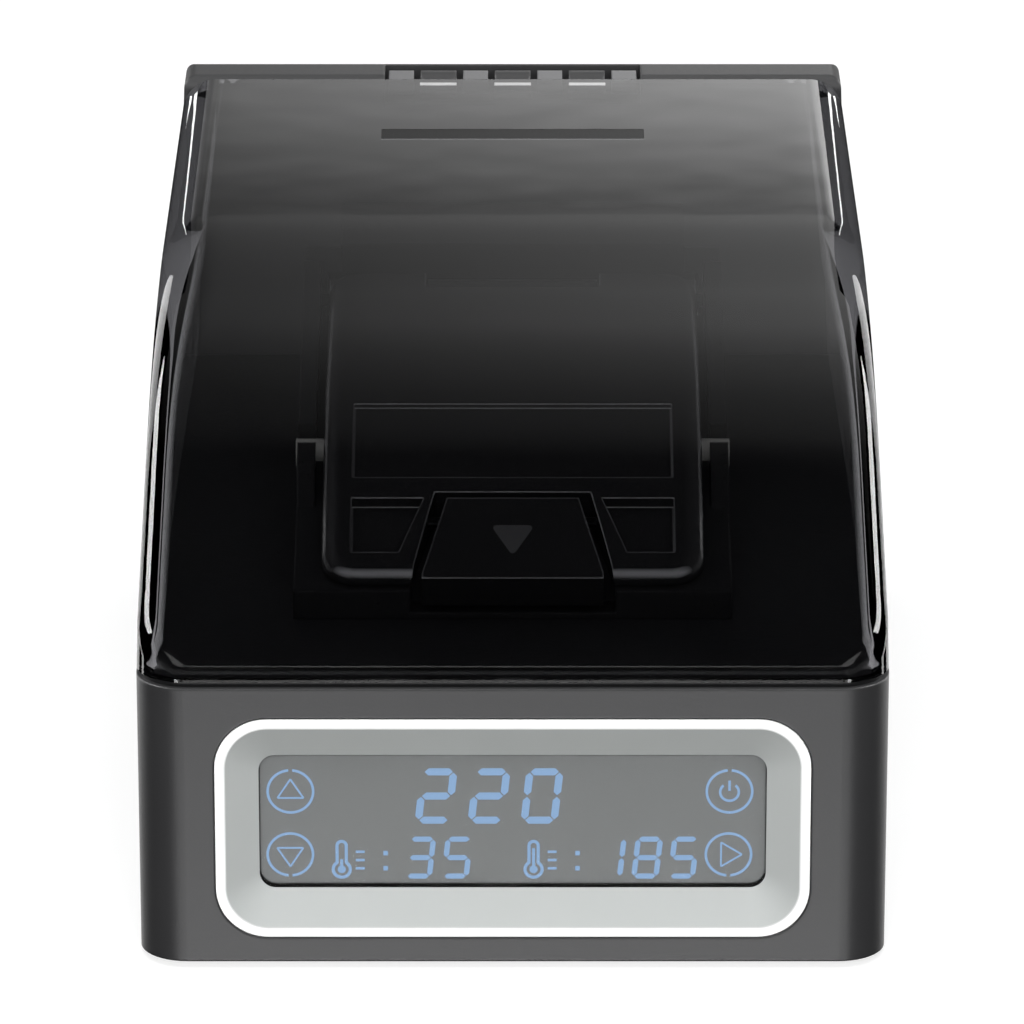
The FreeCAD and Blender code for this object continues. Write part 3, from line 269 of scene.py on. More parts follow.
def prism(outline, place, low, high):
    # flat outline given a thickness; place turns outline points and a depth into x, y, z
    across, up = np.array(outline, float).T
    nearSide, farSide = (np.column_stack(np.broadcast_arrays(*place(across, up, depth)))
                         for depth in (low, high))
    count = len(across)
    here = np.arange(count)
    after = np.roll(here, -1)
    faces = np.column_stack([here, after, count + after, count + here]).tolist()
    faces += [here[::-1].tolist(), (count + here).tolist()]
    # all faces turn round where the second flat side would look inwards
    looking = np.cross(farSide, np.roll(farSide, -1, axis=0)).sum(axis=0)
    if looking @ (farSide - nearSide).mean(axis=0) < 0:
        faces = [face[::-1] for face in faces]
    return np.vstack([nearSide, farSide]), faces


def joined(parts):
    # several sets of points and faces as one
    starts = np.cumsum([0] + [len(points) for points, _ in parts]).tolist()
    faces = [[start + i for i in face] for start, (_, sides) in zip(starts, parts) for face in sides]
    return np.vstack([points for points, _ in parts]), faces


def roundedOutline(corners, radius, steps=7):
    # each corner of a flat outline becomes an arc that touches both of its sides
    arcs = []
    corners = np.array(corners, float)
    shares = np.linspace(0, 1, steps)[:, None]
    for corner, before, after in zip(corners, np.roll(corners, 1, axis=0), np.roll(corners, -1, axis=0)):
        before, after = (side / np.hypot(*side) for side in (before - corner, after - corner))
        halfAngle = math.acos(before @ after) / 2
        middle = corner + (before + after) / np.hypot(*(before + after)) * radius / math.sin(halfAngle)
        start, finish = (corner + side * radius / math.tan(halfAngle) - middle for side in (before, after))
        spokes = start * (1 - shares) + finish * shares
        arcs.append(middle + radius * spokes / np.linalg.norm(spokes, axis=1, keepdims=True))
    return np.vstack(arcs)


# Materials
# moulded ABS with a fine spark-eroded skin: even grey, soft sheen
greyPlastic = plastic("greySatinAbs", "#2d2d2e", "#313132", 0.35, 0.012, 0.42, 0.5)
# moulded ABS with a coarser skin: near black, dull, with a painted highlight on its edges
deckPlastic = plastic("blackTexturedAbs", "#111112", "#171718", 0.5, 0.02, 0.32, 0.4, 0.3, "#48484a")
# nylon from a smooth mould: black, slight gloss, with a painted highlight on edges and front rolls
clampPlastic = plastic("blackSatinNylon", "#101011", "#141415", 0.4, 0.002, 0.24, 0.45, 0.5, "#a6a6a8")
# nylon from a duller mould: black, edges hardly seen
cradlePlastic = plastic("blackMattNylon", "#101011", "#141415", 0.4, 0.002, 0.3, 0.5, 0.3)
# moulded nylon socket: black and dull
inletPlastic = plastic("blackInletNylon", "#0d0d0e", "#151516", 0.4, 0.01, 0.45, 0.2)
# drawn fluoroplastic: waxy, milky grey
tubePlastic = plastic("waxyFluoroplastic", "#7d7d7a", "#8b8b87", 0.6, 0.004, 0.35, 0.1)
# pressed and fired alumina: chalky off-white
ceramic = plastic("heaterCeramic", "#d8d2c6", "#e6e1d6", 0.3, 0.01, 0.6, 0.1)
# needled felt: coarse, matt, straw-coloured
felt = plastic("insulationFelt", "#b8ad94", "#d0c6ad", 0.8, 0.12, 0.9, 0.2)
# moulded rubber: dark and matt
rubber = plastic("footRubber", "#141414", "#1c1c1c", 0.3, 0.02, 0.75, 0.4)
# lacquered glass-fibre board: green, half gloss
boardLacquer = plastic("boardLacquer", "#0f4a2a", "#165a35", 1.2, 0.01, 0.4, 0.1)
# drawn steel: bright, with lines along x
steel = metal("drawnSteel", "#8f9194", "#c2c4c7", 0.3, 0.3, (0.05, 1.0, 1.0))
# blackened steel: dark, with the same lines
blackSteel = metal("blackenedSteel", "#2c2d2e", "#3d3e40", 0.3, 0.35, (0.05, 1.0, 1.0))
# milled aluminium: pale, with coarser lines along x
aluminium = metal("milledAluminium", "#b0b2b5", "#d3d5d7", 0.4, 0.32, (0.06, 1.0, 1.0))
# moulded acrylic with smoke dye: dark clear shell with a mirror gloss
smoke = smokedGlass("smokedAcrylic")
# the same acrylic where it is thick: dark grey, no longer clear
knucklePlastic = plastic("darkSmokedAcrylic", "#58585a", "#5f5f61", 0.4, 0.004, 0.3, 0.3)
# pale bright strips: painted highlight along the lid's rear edge in front of the hinge posts
highlightStripPlastic = plastic("paintedHighlightStrip", "#c8c8c8", "#d4d4d4", 0.4, 0.002, 0.2, 0.1)
# cast acrylic sheet: clear, faintly mirroring
clearWindow = clearSheet("clearAcrylic", "#fafbfb", 0.03)
# satin ABS: grey bevel inside a white rim
bezelPlastic = borderedPlastic("whiteSatinAbs", "#adb0af", "#fbfbfb", (38.5, 14.4, 5.8), 0.15, 0.45)
# display film: mid grey inside a black border
lcdGlass = borderedPlastic("lcdGreyFilm", "#818181", "#0b0b0b", (33.9, 9.45, 2.2), 0.12, 0.5)
# lit segments: pale blue light
segmentLight = glowing("segmentBlue", "#98b7dd", 0.94)
# printed nylon: dull dark grey
markPlastic = plastic("tabMarkNylon", "#2e2e2f", "#343435", 0.3, 0.01, 0.4, 0.2)

dress(greyPlastic, "base_shell")
dress(deckPlastic, "top_deck", "bottom_plate")
dress(clampPlastic, "clamp_cover", "latch_tab")
dress(cradlePlastic, "clamp_cradle")
dress(bezelPlastic, "display_bezel")
dress(lcdGlass, "lcd_module")
dress(boardLacquer, "touch_board", "control_board")
dress(inletPlastic, "dc_inlet")
dress(tubePlastic, "filament_tube")
dress(ceramic, "heater_plate")
dress(felt, "insulation_pad")
dress(rubber, "rubber_feet")
dress(aluminium, "heater_block", "pressure_plate")
dress(steel, "bottom_screws", "touch_board_screws", "control_board_screws", "cradle_screws", "lid_hinge_pin",
      "latch_leaf_spring", "temperature_probe")
dress(blackSteel, "clamp_hinge_pin", "latch_pin")
print("materials done")

# Lid shell: its edges round over a little in front and more at the rear; groove and slots are cut out
lid = {
    "wall": 2.4, "draft": 1.6, "slope": 43.5, "run": 69.0, "lip": 2.2, "frontRound": 0.6,
    "edgeFront": 2.5, "edgeRear": 5.0, "edgeStart": 26.0, "edgeEnd": 60.0, "innerEdge": 0.4,
    "edgeLeast": 0.05, "edgeOfHeight": 0.8, "lowestCrest": 0.01,
    "slotY": -20.97, "slotTop": 56.97, "slotHalf": 3.0, "slotFrom": 40.0, "slotTo": 60.0,
    "grooveHalf": 19.0, "grooveNear": 34.4, "grooveFar": 39.2, "grooveDeep": 0.36, "grooveRise": 0.34,
    "cutPast": 1.0, "sharpDegrees": 35, "crispSlack": 0.1, "crispFoot": 0.2, "flushSlack": 0.01,
}


def lidProfile(inset, bendSteps=7, slopeSteps=14, arcSteps=36, levelSteps=24):
    # side view of the lid as y and z, front to rear: upright lip, small round, straight slope, wide arc that
    # ends level, level top; the arc's radius follows from the slope, the run and the height
    slope = math.radians(lid["slope"])
    height = housing["top"] - housing["deck"] - lid["lip"]
    outer = (lid["run"] * math.sin(slope) - height * math.cos(slope)) / (1 - math.cos(slope))
    radius = outer - inset
    face = housing["front"] + inset
    arcEnd, arcCentre = housing["front"] + lid["run"], housing["top"] - outer
    arcStart = np.array((arcEnd - radius * math.sin(slope), arcCentre + radius * math.cos(slope)))
    lipTop = arcStart[1] - (arcStart[0] - face) * math.tan(slope)
    bend = lid["frontRound"]
    bendLow = lipTop - bend * math.tan((math.pi / 2 - slope) / 2)
    turns = (math.pi / 2 - slope) * np.arange(bendSteps + 1) / bendSteps
    small = np.column_stack([face + bend * (1 - np.cos(turns)), bendLow + bend * np.sin(turns)])
    straight = small[-1] + (arcStart - small[-1]) * np.arange(1, slopeSteps + 1)[:, None] / slopeSteps
    turns = slope * (1 - np.arange(1, arcSteps + 1) / arcSteps)
    wide = np.column_stack([arcEnd - radius * np.sin(turns), arcCentre + radius * np.cos(turns)])
    back = arcEnd + (housing["lidRear"] - arcEnd) * np.arange(1, levelSteps + 1) / levelSteps
    level = np.column_stack([back, np.full(levelSteps, housing["top"] - inset)])
    return np.vstack([[(face, housing["deck"])], small, straight, wide, level])


def lidSurface(inset, walls=18, steps=14, flats=24):
    # grid over depth and front view: drafted wall, round shoulder, level crest, and the same mirrored;
    # near the front the walls draw in along the quarter circle of the housing's corners
    deck = housing["deck"]
    y, crest = lidProfile(inset).T[:, :, None]
    crest = np.maximum(crest, deck + lid["lowestCrest"])
    corner = housing["corner"] - inset
    short = np.maximum(corner - (y - housing["front"] - inset), 0.0)
    drawnIn = corner - np.sqrt(np.maximum(corner ** 2 - short ** 2, 0.0))
    half = housing["side"] - inset - drawnIn
    blend = np.clip((y - housing["front"] - lid["edgeStart"]) / (lid["edgeEnd"] - lid["edgeStart"]), 0, 1)
    blend = blend * blend * (3 - 2 * blend)
    radius = lid["edgeFront"] + (lid["edgeRear"] - lid["edgeFront"]) * blend - inset * lid["innerEdge"]
    radius = np.maximum(lid["edgeLeast"], np.minimum(radius, (crest - deck) * lid["edgeOfHeight"]))
    spring = crest - radius
    lean = lid["draft"] / (housing["top"] - deck)
    wallZ = np.linspace(deck, spring[:, 0], walls, axis=1)
    wallX = half - lean * (wallZ - deck)
    inner = half - lean * (spring - deck) - radius
    turns = np.linspace(0, math.pi / 2, steps)[1:]
    rightX = np.hstack([wallX, inner + radius * np.cos(turns)])
    rightZ = np.hstack([wallZ, spring + radius * np.sin(turns)])
    flatX = np.linspace(inner[:, 0], -inner[:, 0], flats, axis=1)[:, 1:-1]
    x = np.hstack([rightX, flatX, -rightX[:, ::-1]])
    z = np.hstack([rightZ, np.broadcast_to(crest, flatX.shape), rightZ[:, ::-1]])
    return np.stack([x, np.broadcast_to(y, x.shape), z], axis=-1)


def makeLid():
    outer, inner = lidSurface(0.0), lidSurface(lid["wall"])
    rows, columns = outer.shape[:2]
    total = rows * columns
    spots = np.arange(total).reshape(rows, columns)
    # rear, front and side edges close the shell between its two skins
    rims = [np.column_stack([line[:-1], line[1:], total + line[1:], total + line[:-1]])
            for line in (spots[-1], spots[0, ::-1], spots[:, 0], spots[::-1, -1])]
    faces = np.vstack([gridFaces(rows, columns), gridFaces(rows, columns, total)[:, ::-1], *rims])
    points = np.vstack([outer.reshape(-1, 3), inner.reshape(-1, 3)])
    return meshPiece("lidShell", points, faces.tolist(), smoke, "lid", "smoked_clear", smooth=True)


def lidCuts():
    # side views carried across: a groove with a rising floor in the top, and a slot in each side wall
    near, far, high = lid["grooveNear"], lid["grooveFar"], housing["top"] + lid["cutPast"]
    floor = housing["top"] - lid["grooveDeep"]
    groove = [(near, floor), (far, floor + lid["grooveRise"]), (far, high), (near, high)]
    front, back = lid["slotY"] - lid["slotHalf"], lid["slotY"] + lid["slotHalf"]
    low = housing["deck"] - lid["cutPast"]
    slot = [(front, low), (back, low), (back, lid["slotTop"]), (front, lid["slotTop"])]
    across = lambda y, z, x: (x, y, z)
    return joined([prism(groove, across, -lid["grooveHalf"], lid["grooveHalf"]),
                   prism(slot, across, -lid["slotTo"], -lid["slotFrom"]),
                   prism(slot, across, lid["slotFrom"], lid["slotTo"])])


def cutWith(piece, points, faces):
    # takes the tools' shape out of a piece and keeps the result as plain mesh
    mesh = bpy.data.meshes.new("cutTools")
    mesh.from_pydata((points * mm).tolist(), [], faces)
    tool = bpy.data.objects.new("cutTools", mesh)
    scene.collection.objects.link(tool)
    modifier = piece.modifiers.new("cut", "BOOLEAN")
    modifier.operation, modifier.solver, modifier.object = "DIFFERENCE", "EXACT", tool
    bpy.context.view_layer.update()
    result = bpy.data.meshes.new_from_object(piece.evaluated_get(bpy.context.evaluated_depsgraph_get()))
    piece.modifiers.clear()
    piece.data = result
    bpy.data.objects.remove(tool)


def sharpenLid(mesh):
    # the shallow edges of the groove and of the upright lip stay crisp
    mesh.set_sharp_from_angle(angle=math.radians(lid["sharpDegrees"]))
    spots = np.empty(len(mesh.vertices) * 3, np.float32)
    mesh.vertices.foreach_get("co", spots)
    x, y, z = spots.reshape(-1, 3).T / mm
    slack = lid["crispSlack"]
    inGroove = ((np.abs(x) < lid["grooveHalf"] + slack) & (y > lid["grooveNear"] - slack)
                & (y < lid["grooveFar"] + slack) & (z > housing["top"] - lid["grooveDeep"] - slack))
    onLip = (np.abs(y - housing["front"]) < lid["flushSlack"]) & (z > housing["deck"] + lid["crispFoot"])
    ends = np.empty(len(mesh.edges) * 2, np.int32)
    mesh.edges.foreach_get("vertices", ends)
    ends = ends.reshape(-1, 2)
    sharp = np.empty(len(mesh.edges), bool)
    mesh.edges.foreach_get("use_edge_sharp", sharp)
    crisp = inGroove[ends].all(axis=1) | onLip[ends].all(axis=1)
    mesh.edges.foreach_set("use_edge_sharp", sharp | crisp)


lidShell = makeLid()
cutWith(lidShell, *lidCuts())
sharpenLid(lidShell.data)
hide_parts("lid")
print("lid shell done")

# Lid hinge knuckles, and pale strips just under the lid's top in front of the hinge posts: a painted
# highlight
knuckles = {"radius": 2.6, "width": 3.7, "places": (-16.5, -5.5, 5.5, 16.5), "web": 2.4}
highlightStrips = {"places": (-11.0, 0.0, 11.0), "half": 2.7, "back": 2.8, "deep": 1.2, "low": -0.5, "high": -0.06}


def makeKnuckles():
    # barrel outline about the pin with a flat tangent arm to the lid's rear edge, carried across
    radius, half = knuckles["radius"], knuckles["width"] / 2
    turns = np.linspace(math.pi / 2, -math.pi, 40)
    barrel = radius * np.column_stack([np.cos(turns), np.sin(turns)])
    armEnd = housing["lidRear"] - housing["hingeY"]
    armLow = radius - knuckles["web"]
    barrel = barrel[(barrel[:, 0] >= 0) | (barrel[:, 1] <= armLow)]
    arm = [(-math.sqrt(radius ** 2 - armLow ** 2), armLow), (armEnd, armLow), (armEnd, radius)]
    outline = np.vstack([barrel, arm])
    aboutPin = lambda y, z, x: (x, housing["hingeY"] + y, housing["hingeZ"] + z)
    barrels = joined([prism(outline, aboutPin, x - half, x + half) for x in knuckles["places"]])
    meshPiece("lidKnuckles", *barrels, knucklePlastic, "lid", "smoked_clear")


def makeHighlightStrips():
    # pale strips that paint the highlight the lid's rear edge shows in front of the hinge posts
    half, near = highlightStrips["half"], housing["lidRear"] - highlightStrips["back"]
    underTop = lambda x, y, z: (x, near + y, housing["top"] + z)
    outlines = [[(x - half, 0), (x + half, 0), (x + half, highlightStrips["deep"]), (x - half, highlightStrips["deep"])]
                for x in highlightStrips["places"]]
    marks = joined([prism(outline, underTop, highlightStrips["low"], highlightStrips["high"]) for outline in outlines])
    meshPiece("lidHighlightStrips", *marks, highlightStripPlastic, "lid", "smoked_clear")


makeKnuckles()
makeHighlightStrips()
print("knuckles done")

# Display window and its lit marks, in millimetres from the display's centre
display = {
    "halfX": 35.4, "halfZ": 11.0, "windowFront": -69.9, "windowBack": -68.9,
    "markFront": -68.82, "markBack": -68.74, "line": 0.34, "thin": 0.7, "ring": 3.05, "ringGap": 5,
    "slant": 0.105,
    "keys": ((-29.8, 3.87, "up"), (-29.9, -5.28, "down"), (29.05, 3.87, "power"), (29.0, -5.28, "next")),
    # figures, left, foot, width, height, pitch and bar width
    "numbers": (("220", -13.2, -0.8, 5.0, 8.0, 7.1, 1.0), ("35", -14.6, -8.8, 3.7, 6.1, 4.95, 0.72),
                ("185", 11.0, -8.8, 3.7, 6.1, 4.9, 0.72)),
    # middle of each thermometer and the height of its column
    "labels": ((-23.0, 2.6), (2.8, 4.2)),
}
keySigns = {"up": ((-1.75, -0.95), (1.75, -0.95), (0, 1.75)),
            "down": ((-1.75, 0.95), (0, -1.75), (1.75, 0.95)),
            "next": ((-1.0, -1.75), (1.8, 0), (-1.0, 1.75))}
powerSign = {"low": -0.1, "radius": 1.25, "start": 130, "finish": 410, "barLow": 0.1, "barHigh": 1.55}
thermometer = {
    "foot": -8.6, "line": 0.42, "bulb": 1.15, "bulbStart": 118, "bulbFinish": 422, "stem": 0.62, "neck": 2.1,
    "tip": 4.6, "drop": 0.55, "column": 0.4, "ticks": (1.3, 2.5, 3.7), "tickStart": 1.9, "tickFinish": 3.1,
    "tickLine": 0.34, "dots": (1.0, 3.2), "dotStart": 5.6, "dotSize": 0.62,
}
segmentsOn = {"0": "abcdef", "1": "bc", "2": "abged", "3": "abgcd", "5": "afgcd", "8": "abcdefg"}


def onDisplay(x, z, y):
    return x, y, housing["displayZ"] + z


def ringOutline(x, z, radius, width, start, finish, steps=48):
    # part of a ring: outer arc forwards, inner arc back, angles in degrees
    turns = np.radians(np.linspace(start, finish, steps))
    arc = np.column_stack([np.cos(turns), np.sin(turns)])
    return np.vstack([arc * (radius + width / 2), arc[::-1] * (radius - width / 2)]) + (x, z)


def strokeOutline(start, finish, width):
    # straight bar between two points
    start, finish = np.array(start, float), np.array(finish, float)
    along = finish - start
    across = np.array((-along[1], along[0])) / np.hypot(*along) * width / 2
    return np.array((start - across, finish - across, finish + across, start + across))


def boxOutline(x, z, wide, tall):
    return np.array(((x, z), (x + wide, z), (x + wide, z + tall), (x, z + tall)))


def segmentOutline(start, finish, width, gap):
    # lit bar with pointed ends between two corners of a figure
    start, finish = np.array(start, float), np.array(finish, float)
    unit = (finish - start) / np.hypot(*(finish - start))
    across = np.array((-unit[1], unit[0])) * width / 2
    first, last, inset = start + unit * gap, finish - unit * gap, unit * width / 2
    return np.array((first, first + inset - across, last - inset - across, last,
                     last - inset + across, first + inset + across))


def numberOutlines(text, x, z, wide, tall, pitch, width):
    # seven-bar figures leaning to the right; the bars' ends lie half a bar inside the figure's box
    wide, tall, half = wide - width, tall - width, (tall - width) / 2
    bars = {"a": ((0, tall), (wide, tall)), "b": ((wide, half), (wide, tall)), "c": ((wide, 0), (wide, half)),
            "d": ((0, 0), (wide, 0)), "e": ((0, 0), (0, half)), "f": ((0, half), (0, tall)),
            "g": ((0, half), (wide, half))}
    outlines = []
    for k, figure in enumerate(text):
        for name in segmentsOn[figure]:
            bar = segmentOutline(*bars[name], width, width * 0.12) + width / 2
            lean = display["slant"] * bar[:, 1]
            outlines.append(np.column_stack([x + k * pitch + bar[:, 0] + lean, z + bar[:, 1]]))
    return outlines


def keyOutlines(x, z, kind):
    # ring with a small gap round a plain sign
    line, gap = display["line"], display["ringGap"]
    gapAt = 270 if kind in ("down", "next") else 90
    outlines = [ringOutline(x, z, display["ring"], line, gapAt + gap, gapAt + 360 - gap)]
    if kind in keySigns:
        corners = np.array(keySigns[kind]) + (x, z)
        outlines += [strokeOutline(a, b, line * display["thin"])
                     for a, b in zip(corners, np.roll(corners, -1, axis=0))]
    else:
        outlines += [ringOutline(x, z + powerSign["low"], powerSign["radius"], line, powerSign["start"],
                                 powerSign["finish"], 24),
                     strokeOutline((x, z + powerSign["barLow"]), (x, z + powerSign["barHigh"]), line)]
    return outlines


def labelOutlines(x, filled):
    # thermometer with a low or a full column and three ticks, then two dots
    sign, foot = thermometer, thermometer["foot"]
    middle = foot + sign["bulb"]
    turns = np.linspace(0, 2 * math.pi, 17)[:-1]
    outlines = [ringOutline(x, middle, sign["bulb"], sign["line"], sign["bulbStart"], sign["bulbFinish"], 28),
                ringOutline(x, foot + sign["tip"], sign["stem"], sign["line"], 0, 180, 14),
                sign["drop"] * np.column_stack([np.cos(turns), np.sin(turns)]) + (x, middle),
                strokeOutline((x, middle), (x, foot + filled), sign["column"])]
    outlines += [strokeOutline((x + side, foot + sign["neck"]), (x + side, foot + sign["tip"]), sign["line"])
                 for side in (-sign["stem"], sign["stem"])]
    outlines += [strokeOutline((x + sign["tickStart"], foot + rise), (x + sign["tickFinish"], foot + rise),
                               sign["tickLine"]) for rise in sign["ticks"]]
    outlines += [boxOutline(x + sign["dotStart"], foot + rise, sign["dotSize"], sign["dotSize"])
                 for rise in sign["dots"]]
    return outlines


def makeDisplay():
    half, tall = display["halfX"], display["halfZ"]
    pane = prism(boxOutline(-half, -tall, 2 * half, 2 * tall), onDisplay, display["windowFront"],
                 display["windowBack"])
    window = meshPiece("windowPane", *pane, clearWindow, "base", "clear_window")
    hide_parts("display_window")
    outlines = []
    for maker, rows in ((keyOutlines, display["keys"]), (numberOutlines, display["numbers"]),
                        (labelOutlines, display["labels"])):
        for row in rows:
            outlines += maker(*row)
    marks = joined([prism(outline, onDisplay, display["markFront"], display["markBack"])
                    for outline in outlines])
    meshPiece("displayMarks", *marks, segmentLight, "base", "lcd_panel")


makeDisplay()
print("display done")

# Pull mark on the latch tab, in the clamp's own tilted frame
tabMark = {"originY": -49.5, "originZ": 45.7, "tilt": 18.0, "apex": 2.8, "back": 8.0, "half": 3.0,
           "corner": 0.5, "topAt0": 2.5, "topRise": 0.2331, "above": 0.05, "below": 0.1}


def onTab(x, u, lift):
    # point on the tab's sloping top: u runs up the clamp's slope, and lift stands off the top
    w = tabMark["topAt0"] + tabMark["topRise"] * u + lift
    tilt = math.radians(tabMark["tilt"])
    return (x, tabMark["originY"] + u * math.cos(tilt) - w * math.sin(tilt),
            tabMark["originZ"] + u * math.sin(tilt) + w * math.cos(tilt))


def makeTabMark():
    corners = [(0, tabMark["apex"]), (tabMark["half"], tabMark["back"]), (-tabMark["half"], tabMark["back"])]
    mark = prism(roundedOutline(corners, tabMark["corner"]), onTab, -tabMark["below"], tabMark["above"])
    meshPiece("tabMark", *mark, markPlastic, "latch", "clamp_plastic")


makeTabMark()
print("tab mark done")

# Stage, light and camera, in metres
stage = {
    "cameraPlace": (-0.0001, -0.9867, 0.4018), "cameraTilt": 69.8, "lens": 260.2, "sensor": 36.0,
    "clip": (0.05, 30.0), "floorHalf": 6.0, "floorGlow": 0.72, "ambient": 0.15, "horizon": 0.2,
    # place, aim, size and power of the lamps
    "keyLight": ((0.0, -0.2, 1.6), (0, 0, 0), (1.6, 1.6), 24.0),
    "frontLight": ((0.0, -1.5, 0.65), (0, 0, 0.03), (0.9, 0.6), 26.0),
}
# Bright cards that only reflections see: left and right, foot and head or near and far, then y or z, strength
cards = {
    "upright": (
        ("frontCard", (-0.45, 0.45), (-1.0, -0.392), -1.0, 7.9),
        ("frontCard", (-0.45, 0.45), (-0.34, -0.3275), -1.0, 7.9),
        ("lipCard", (-0.45, 0.45), (-0.3275, -0.3237), -1.0, 1.5),
        ("frontHighCard", (-0.7, 0.7), (0.5, 1.5), -1.0, 1.2),
        ("rearLowCard", (-1.0, 1.0), (-0.9, -0.268), 1.0, 1.3),
        ("rearCard", (-0.22, 0.22), (0.0, 1.5), 1.0, 1.0),
        ("shoulderStrip", (-0.336, -0.322), (0.0, 0.5), 1.0, 4.0),
        ("shoulderStrip", (0.322, 0.336), (0.0, 0.5), 1.0, 4.0),
    ),
    "level": (
        ("overheadCard", (-0.6, 0.6), (-0.49, 1.0), 1.5, 0.88),
        ("sideCard", (-1.5, -0.75), (-0.6, 0.5), 1.2, 15.0),
        ("sideCard", (0.75, 1.5), (-0.6, 0.5), 1.2, 15.0),
    ),
    "sideRear": {"near": 0.3, "far": 1.6, "low": -0.35, "high": 0.85, "strength": 3.0},
    # share of light by height on the rear card and by depth on the overhead one, which leans to one side
    "ramps": {
        "rearCard": (2, 0.0, ((0.0, 0.9), (0.34, 0.95), (0.368, 0.85), (0.385, 0.55), (0.39, 0.47),
                              (0.395, 0.4), (0.4, 0.315), (0.4043, 0.26), (0.4066, 0.25), (0.4076, 0.34),
                              (0.6, 0.36), (0.86, 0.42), (1.5, 0.58))),
        "overheadCard": (1, 0.22, ((-0.47, 0.0), (-0.31, 0.12), (-0.02, 0.24), (0.28, 0.46), (0.57, 0.72),
                                   (1.0, 0.7))),
    },
    # both ramps grow from left to right
    "slantReach": 0.14, "slantLeft": 0.38, "slantRight": 1.98,
}


def rampShare(tree, axis, skew, ramp):
    # share of light along one axis as straight lines between the ramp's points, times the slant across
    parts = addNode(tree, "SeparateXYZ", {0: addNode(tree, "TexCoord").outputs["Object"]})
    first, last = ramp[0][0], ramp[-1][0]
    skewed = addNode(tree, "Math", {0: parts.outputs[0], 1: skew}, operation="MULTIPLY")
    leaning = addNode(tree, "Math", {0: parts.outputs[axis], 1: skewed}, operation="ADD")
    along = addNode(tree, "MapRange", {"Value": leaning, "From Min": first, "From Max": last})
    shade = addNode(tree, "FloatCurve", {"Value": along})
    points = shade.mapping.curves[0].points
    while len(points) < len(ramp):
        points.new(0.5, 0.5)
    for point, (spot, share) in zip(points, ramp):
        point.location = ((spot - first) / (last - first), share)
        point.handle_type = "VECTOR"
    shade.mapping.update()
    slant = addNode(tree, "MapRange", {
        "Value": parts.outputs[0], "From Min": -cards["slantReach"], "From Max": cards["slantReach"],
        "To Min": cards["slantLeft"], "To Max": cards["slantRight"]})
    return addNode(tree, "Math", {0: shade, 1: slant}, operation="MULTIPLY")


def flatObject(name, corners):
    mesh = bpy.data.meshes.new(name)
    mesh.from_pydata(corners, [], [(0, 1, 2, 3)])
    flat = bpy.data.objects.new(name, mesh)
    scene.collection.objects.link(flat)
    material, tree = newMaterial(name)
    mesh.materials.append(material)
    return flat, tree


def emissionCard(name, corners, strength):
    # bright card that only mirror reflections see
    card, tree = flatObject(name, corners)
    level = strength
    if name in cards["ramps"]:
        share = rampShare(tree, *cards["ramps"][name])
        level = addNode(tree, "Math", {0: share, 1: strength}, operation="MULTIPLY")
    addNode(tree, "OutputMaterial", {"Surface": addNode(tree, "Emission", {"Strength": level})})
    card.visible_camera = card.visible_diffuse = card.visible_shadow = card.visible_transmission = False


def makeCards():
    for name, (left, right), (low, high), y, strength in cards["upright"]:
        emissionCard(name, [(left, y, low), (right, y, low), (right, y, high), (left, y, high)], strength)
    for name, (left, right), (near, far), z, strength in cards["level"]:
        emissionCard(name, [(left, near, z), (right, near, z), (right, far, z), (left, far, z)], strength)
    side = cards["sideRear"]
    for x in (-1, 1):
        emissionCard("sideRearCard", [(x, side["near"], side["low"]), (x, side["far"], side["low"]),
                                      (x, side["far"], side["high"]), (x, side["near"], side["high"])],
                     side["strength"])


def areaLight(name):
    place, aim, size, power = stage[name]
    data = bpy.data.lights.new(name, "AREA")
    data.shape, data.size, data.size_y, data.energy = "RECTANGLE", size[0], size[1], power
    light = bpy.data.objects.new(name, data)
    light.location = place
    light.rotation_euler = (Vector(aim) - Vector(place)).to_track_quat("-Z", "Y").to_euler()
    light.visible_glossy = light.visible_transmission = False
    scene.collection.objects.link(light)


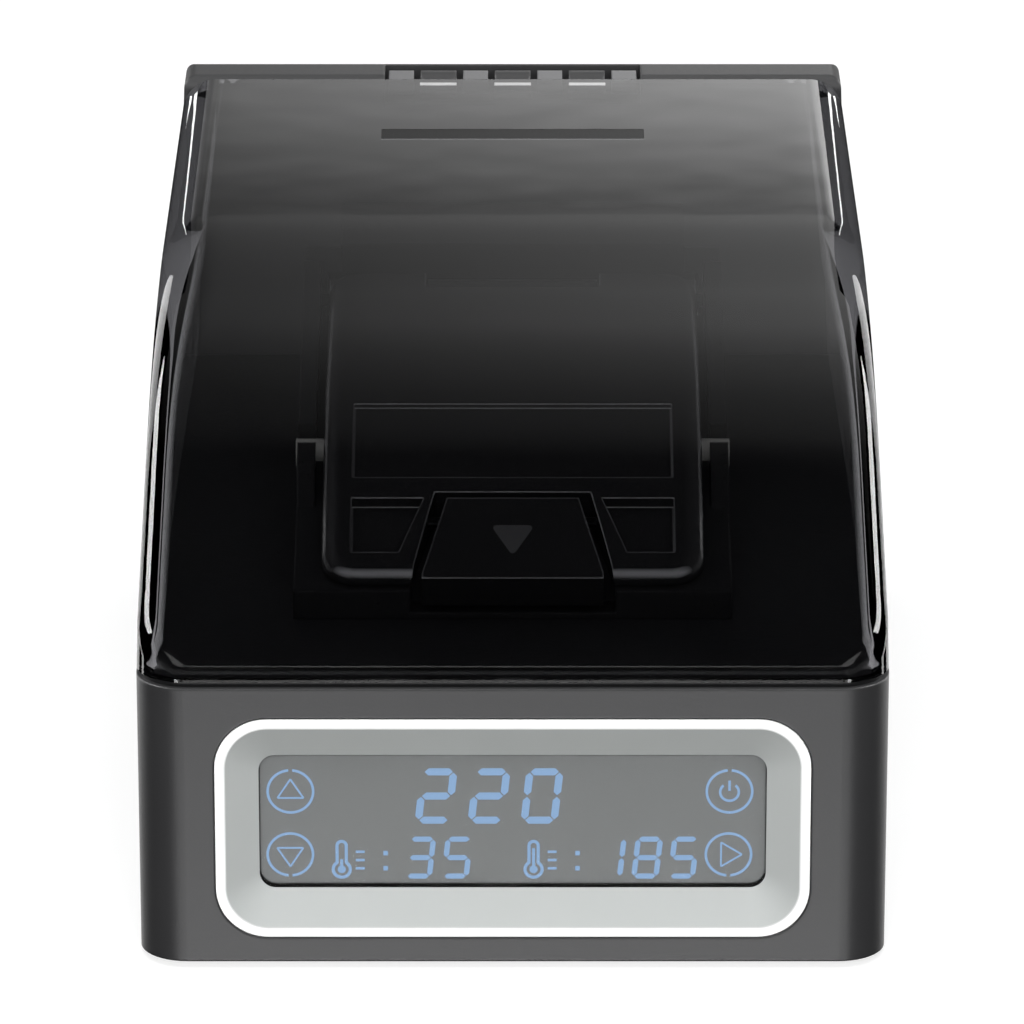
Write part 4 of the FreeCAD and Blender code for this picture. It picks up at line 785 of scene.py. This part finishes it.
def makeFloor():
    # pale paper sheet, lit from within so that it stays white round the object
    half = stage["floorHalf"]
    corners = [(-half, -half, 0), (half, -half, 0), (half, half, 0), (-half, half, 0)]
    floor, tree = flatObject("floor", corners)
    colour = addNode(tree, "Mix", {0: noiseAt(tree, 40.0, 3.0), 6: toLinear("#9b9b9b"),
                                   7: toLinear("#a2a2a2")}, data_type="RGBA")
    sheet = addNode(tree, "BsdfDiffuse", {"Color": colour.outputs[2]})
    glow = addNode(tree, "Emission", {"Strength": stage["floorGlow"]})
    addNode(tree, "OutputMaterial", {"Surface": addNode(tree, "AddShader", {0: sheet, 1: glow})})
    floor.visible_diffuse = floor.visible_glossy = False


def makeWorld():
    # white for what is seen straight or low through clear pieces, dim for soft light, black for mirrors
    world = bpy.data.worlds.new("studio")
    scene.world = world
    world.use_nodes = True
    tree = world.node_tree
    tree.nodes.clear()
    rays = addNode(tree, "LightPath").outputs
    direction = addNode(tree, "SeparateXYZ", {0: addNode(tree, "TexCoord").outputs["Generated"]})
    low = addNode(tree, "Math", {0: direction.outputs[2], 1: stage["horizon"]}, operation="LESS_THAN")
    through = addNode(tree, "Math", {0: rays["Is Transmission Ray"], 1: low}, operation="MULTIPLY")
    seen = addNode(tree, "Math", {0: rays["Is Camera Ray"], 1: through}, operation="MAXIMUM")
    soft = addNode(tree, "Math", {0: rays["Is Diffuse Ray"], 1: stage["ambient"]}, operation="MULTIPLY")
    level = addNode(tree, "Math", {0: seen, 1: soft}, operation="MAXIMUM")
    background = addNode(tree, "Background", {"Color": toLinear("#ffffff"), "Strength": level})
    addNode(tree, "OutputWorld", {"Surface": background})


def makeCamera():
    camera = bpy.data.cameras.new("camera")
    camera.lens, camera.sensor_width, camera.dof.use_dof = stage["lens"], stage["sensor"], False
    camera.clip_start, camera.clip_end = stage["clip"]
    view = bpy.data.objects.new("camera", camera)
    view.location = stage["cameraPlace"]
    view.rotation_euler = (math.radians(stage["cameraTilt"]), 0, 0)
    scene.collection.objects.link(view)
    scene.camera = view
    scene.view_settings.view_transform = "Standard"


makeFloor()
makeWorld()
areaLight("keyLight")
areaLight("frontLight")
makeCards()
makeCamera()
print("stage done")
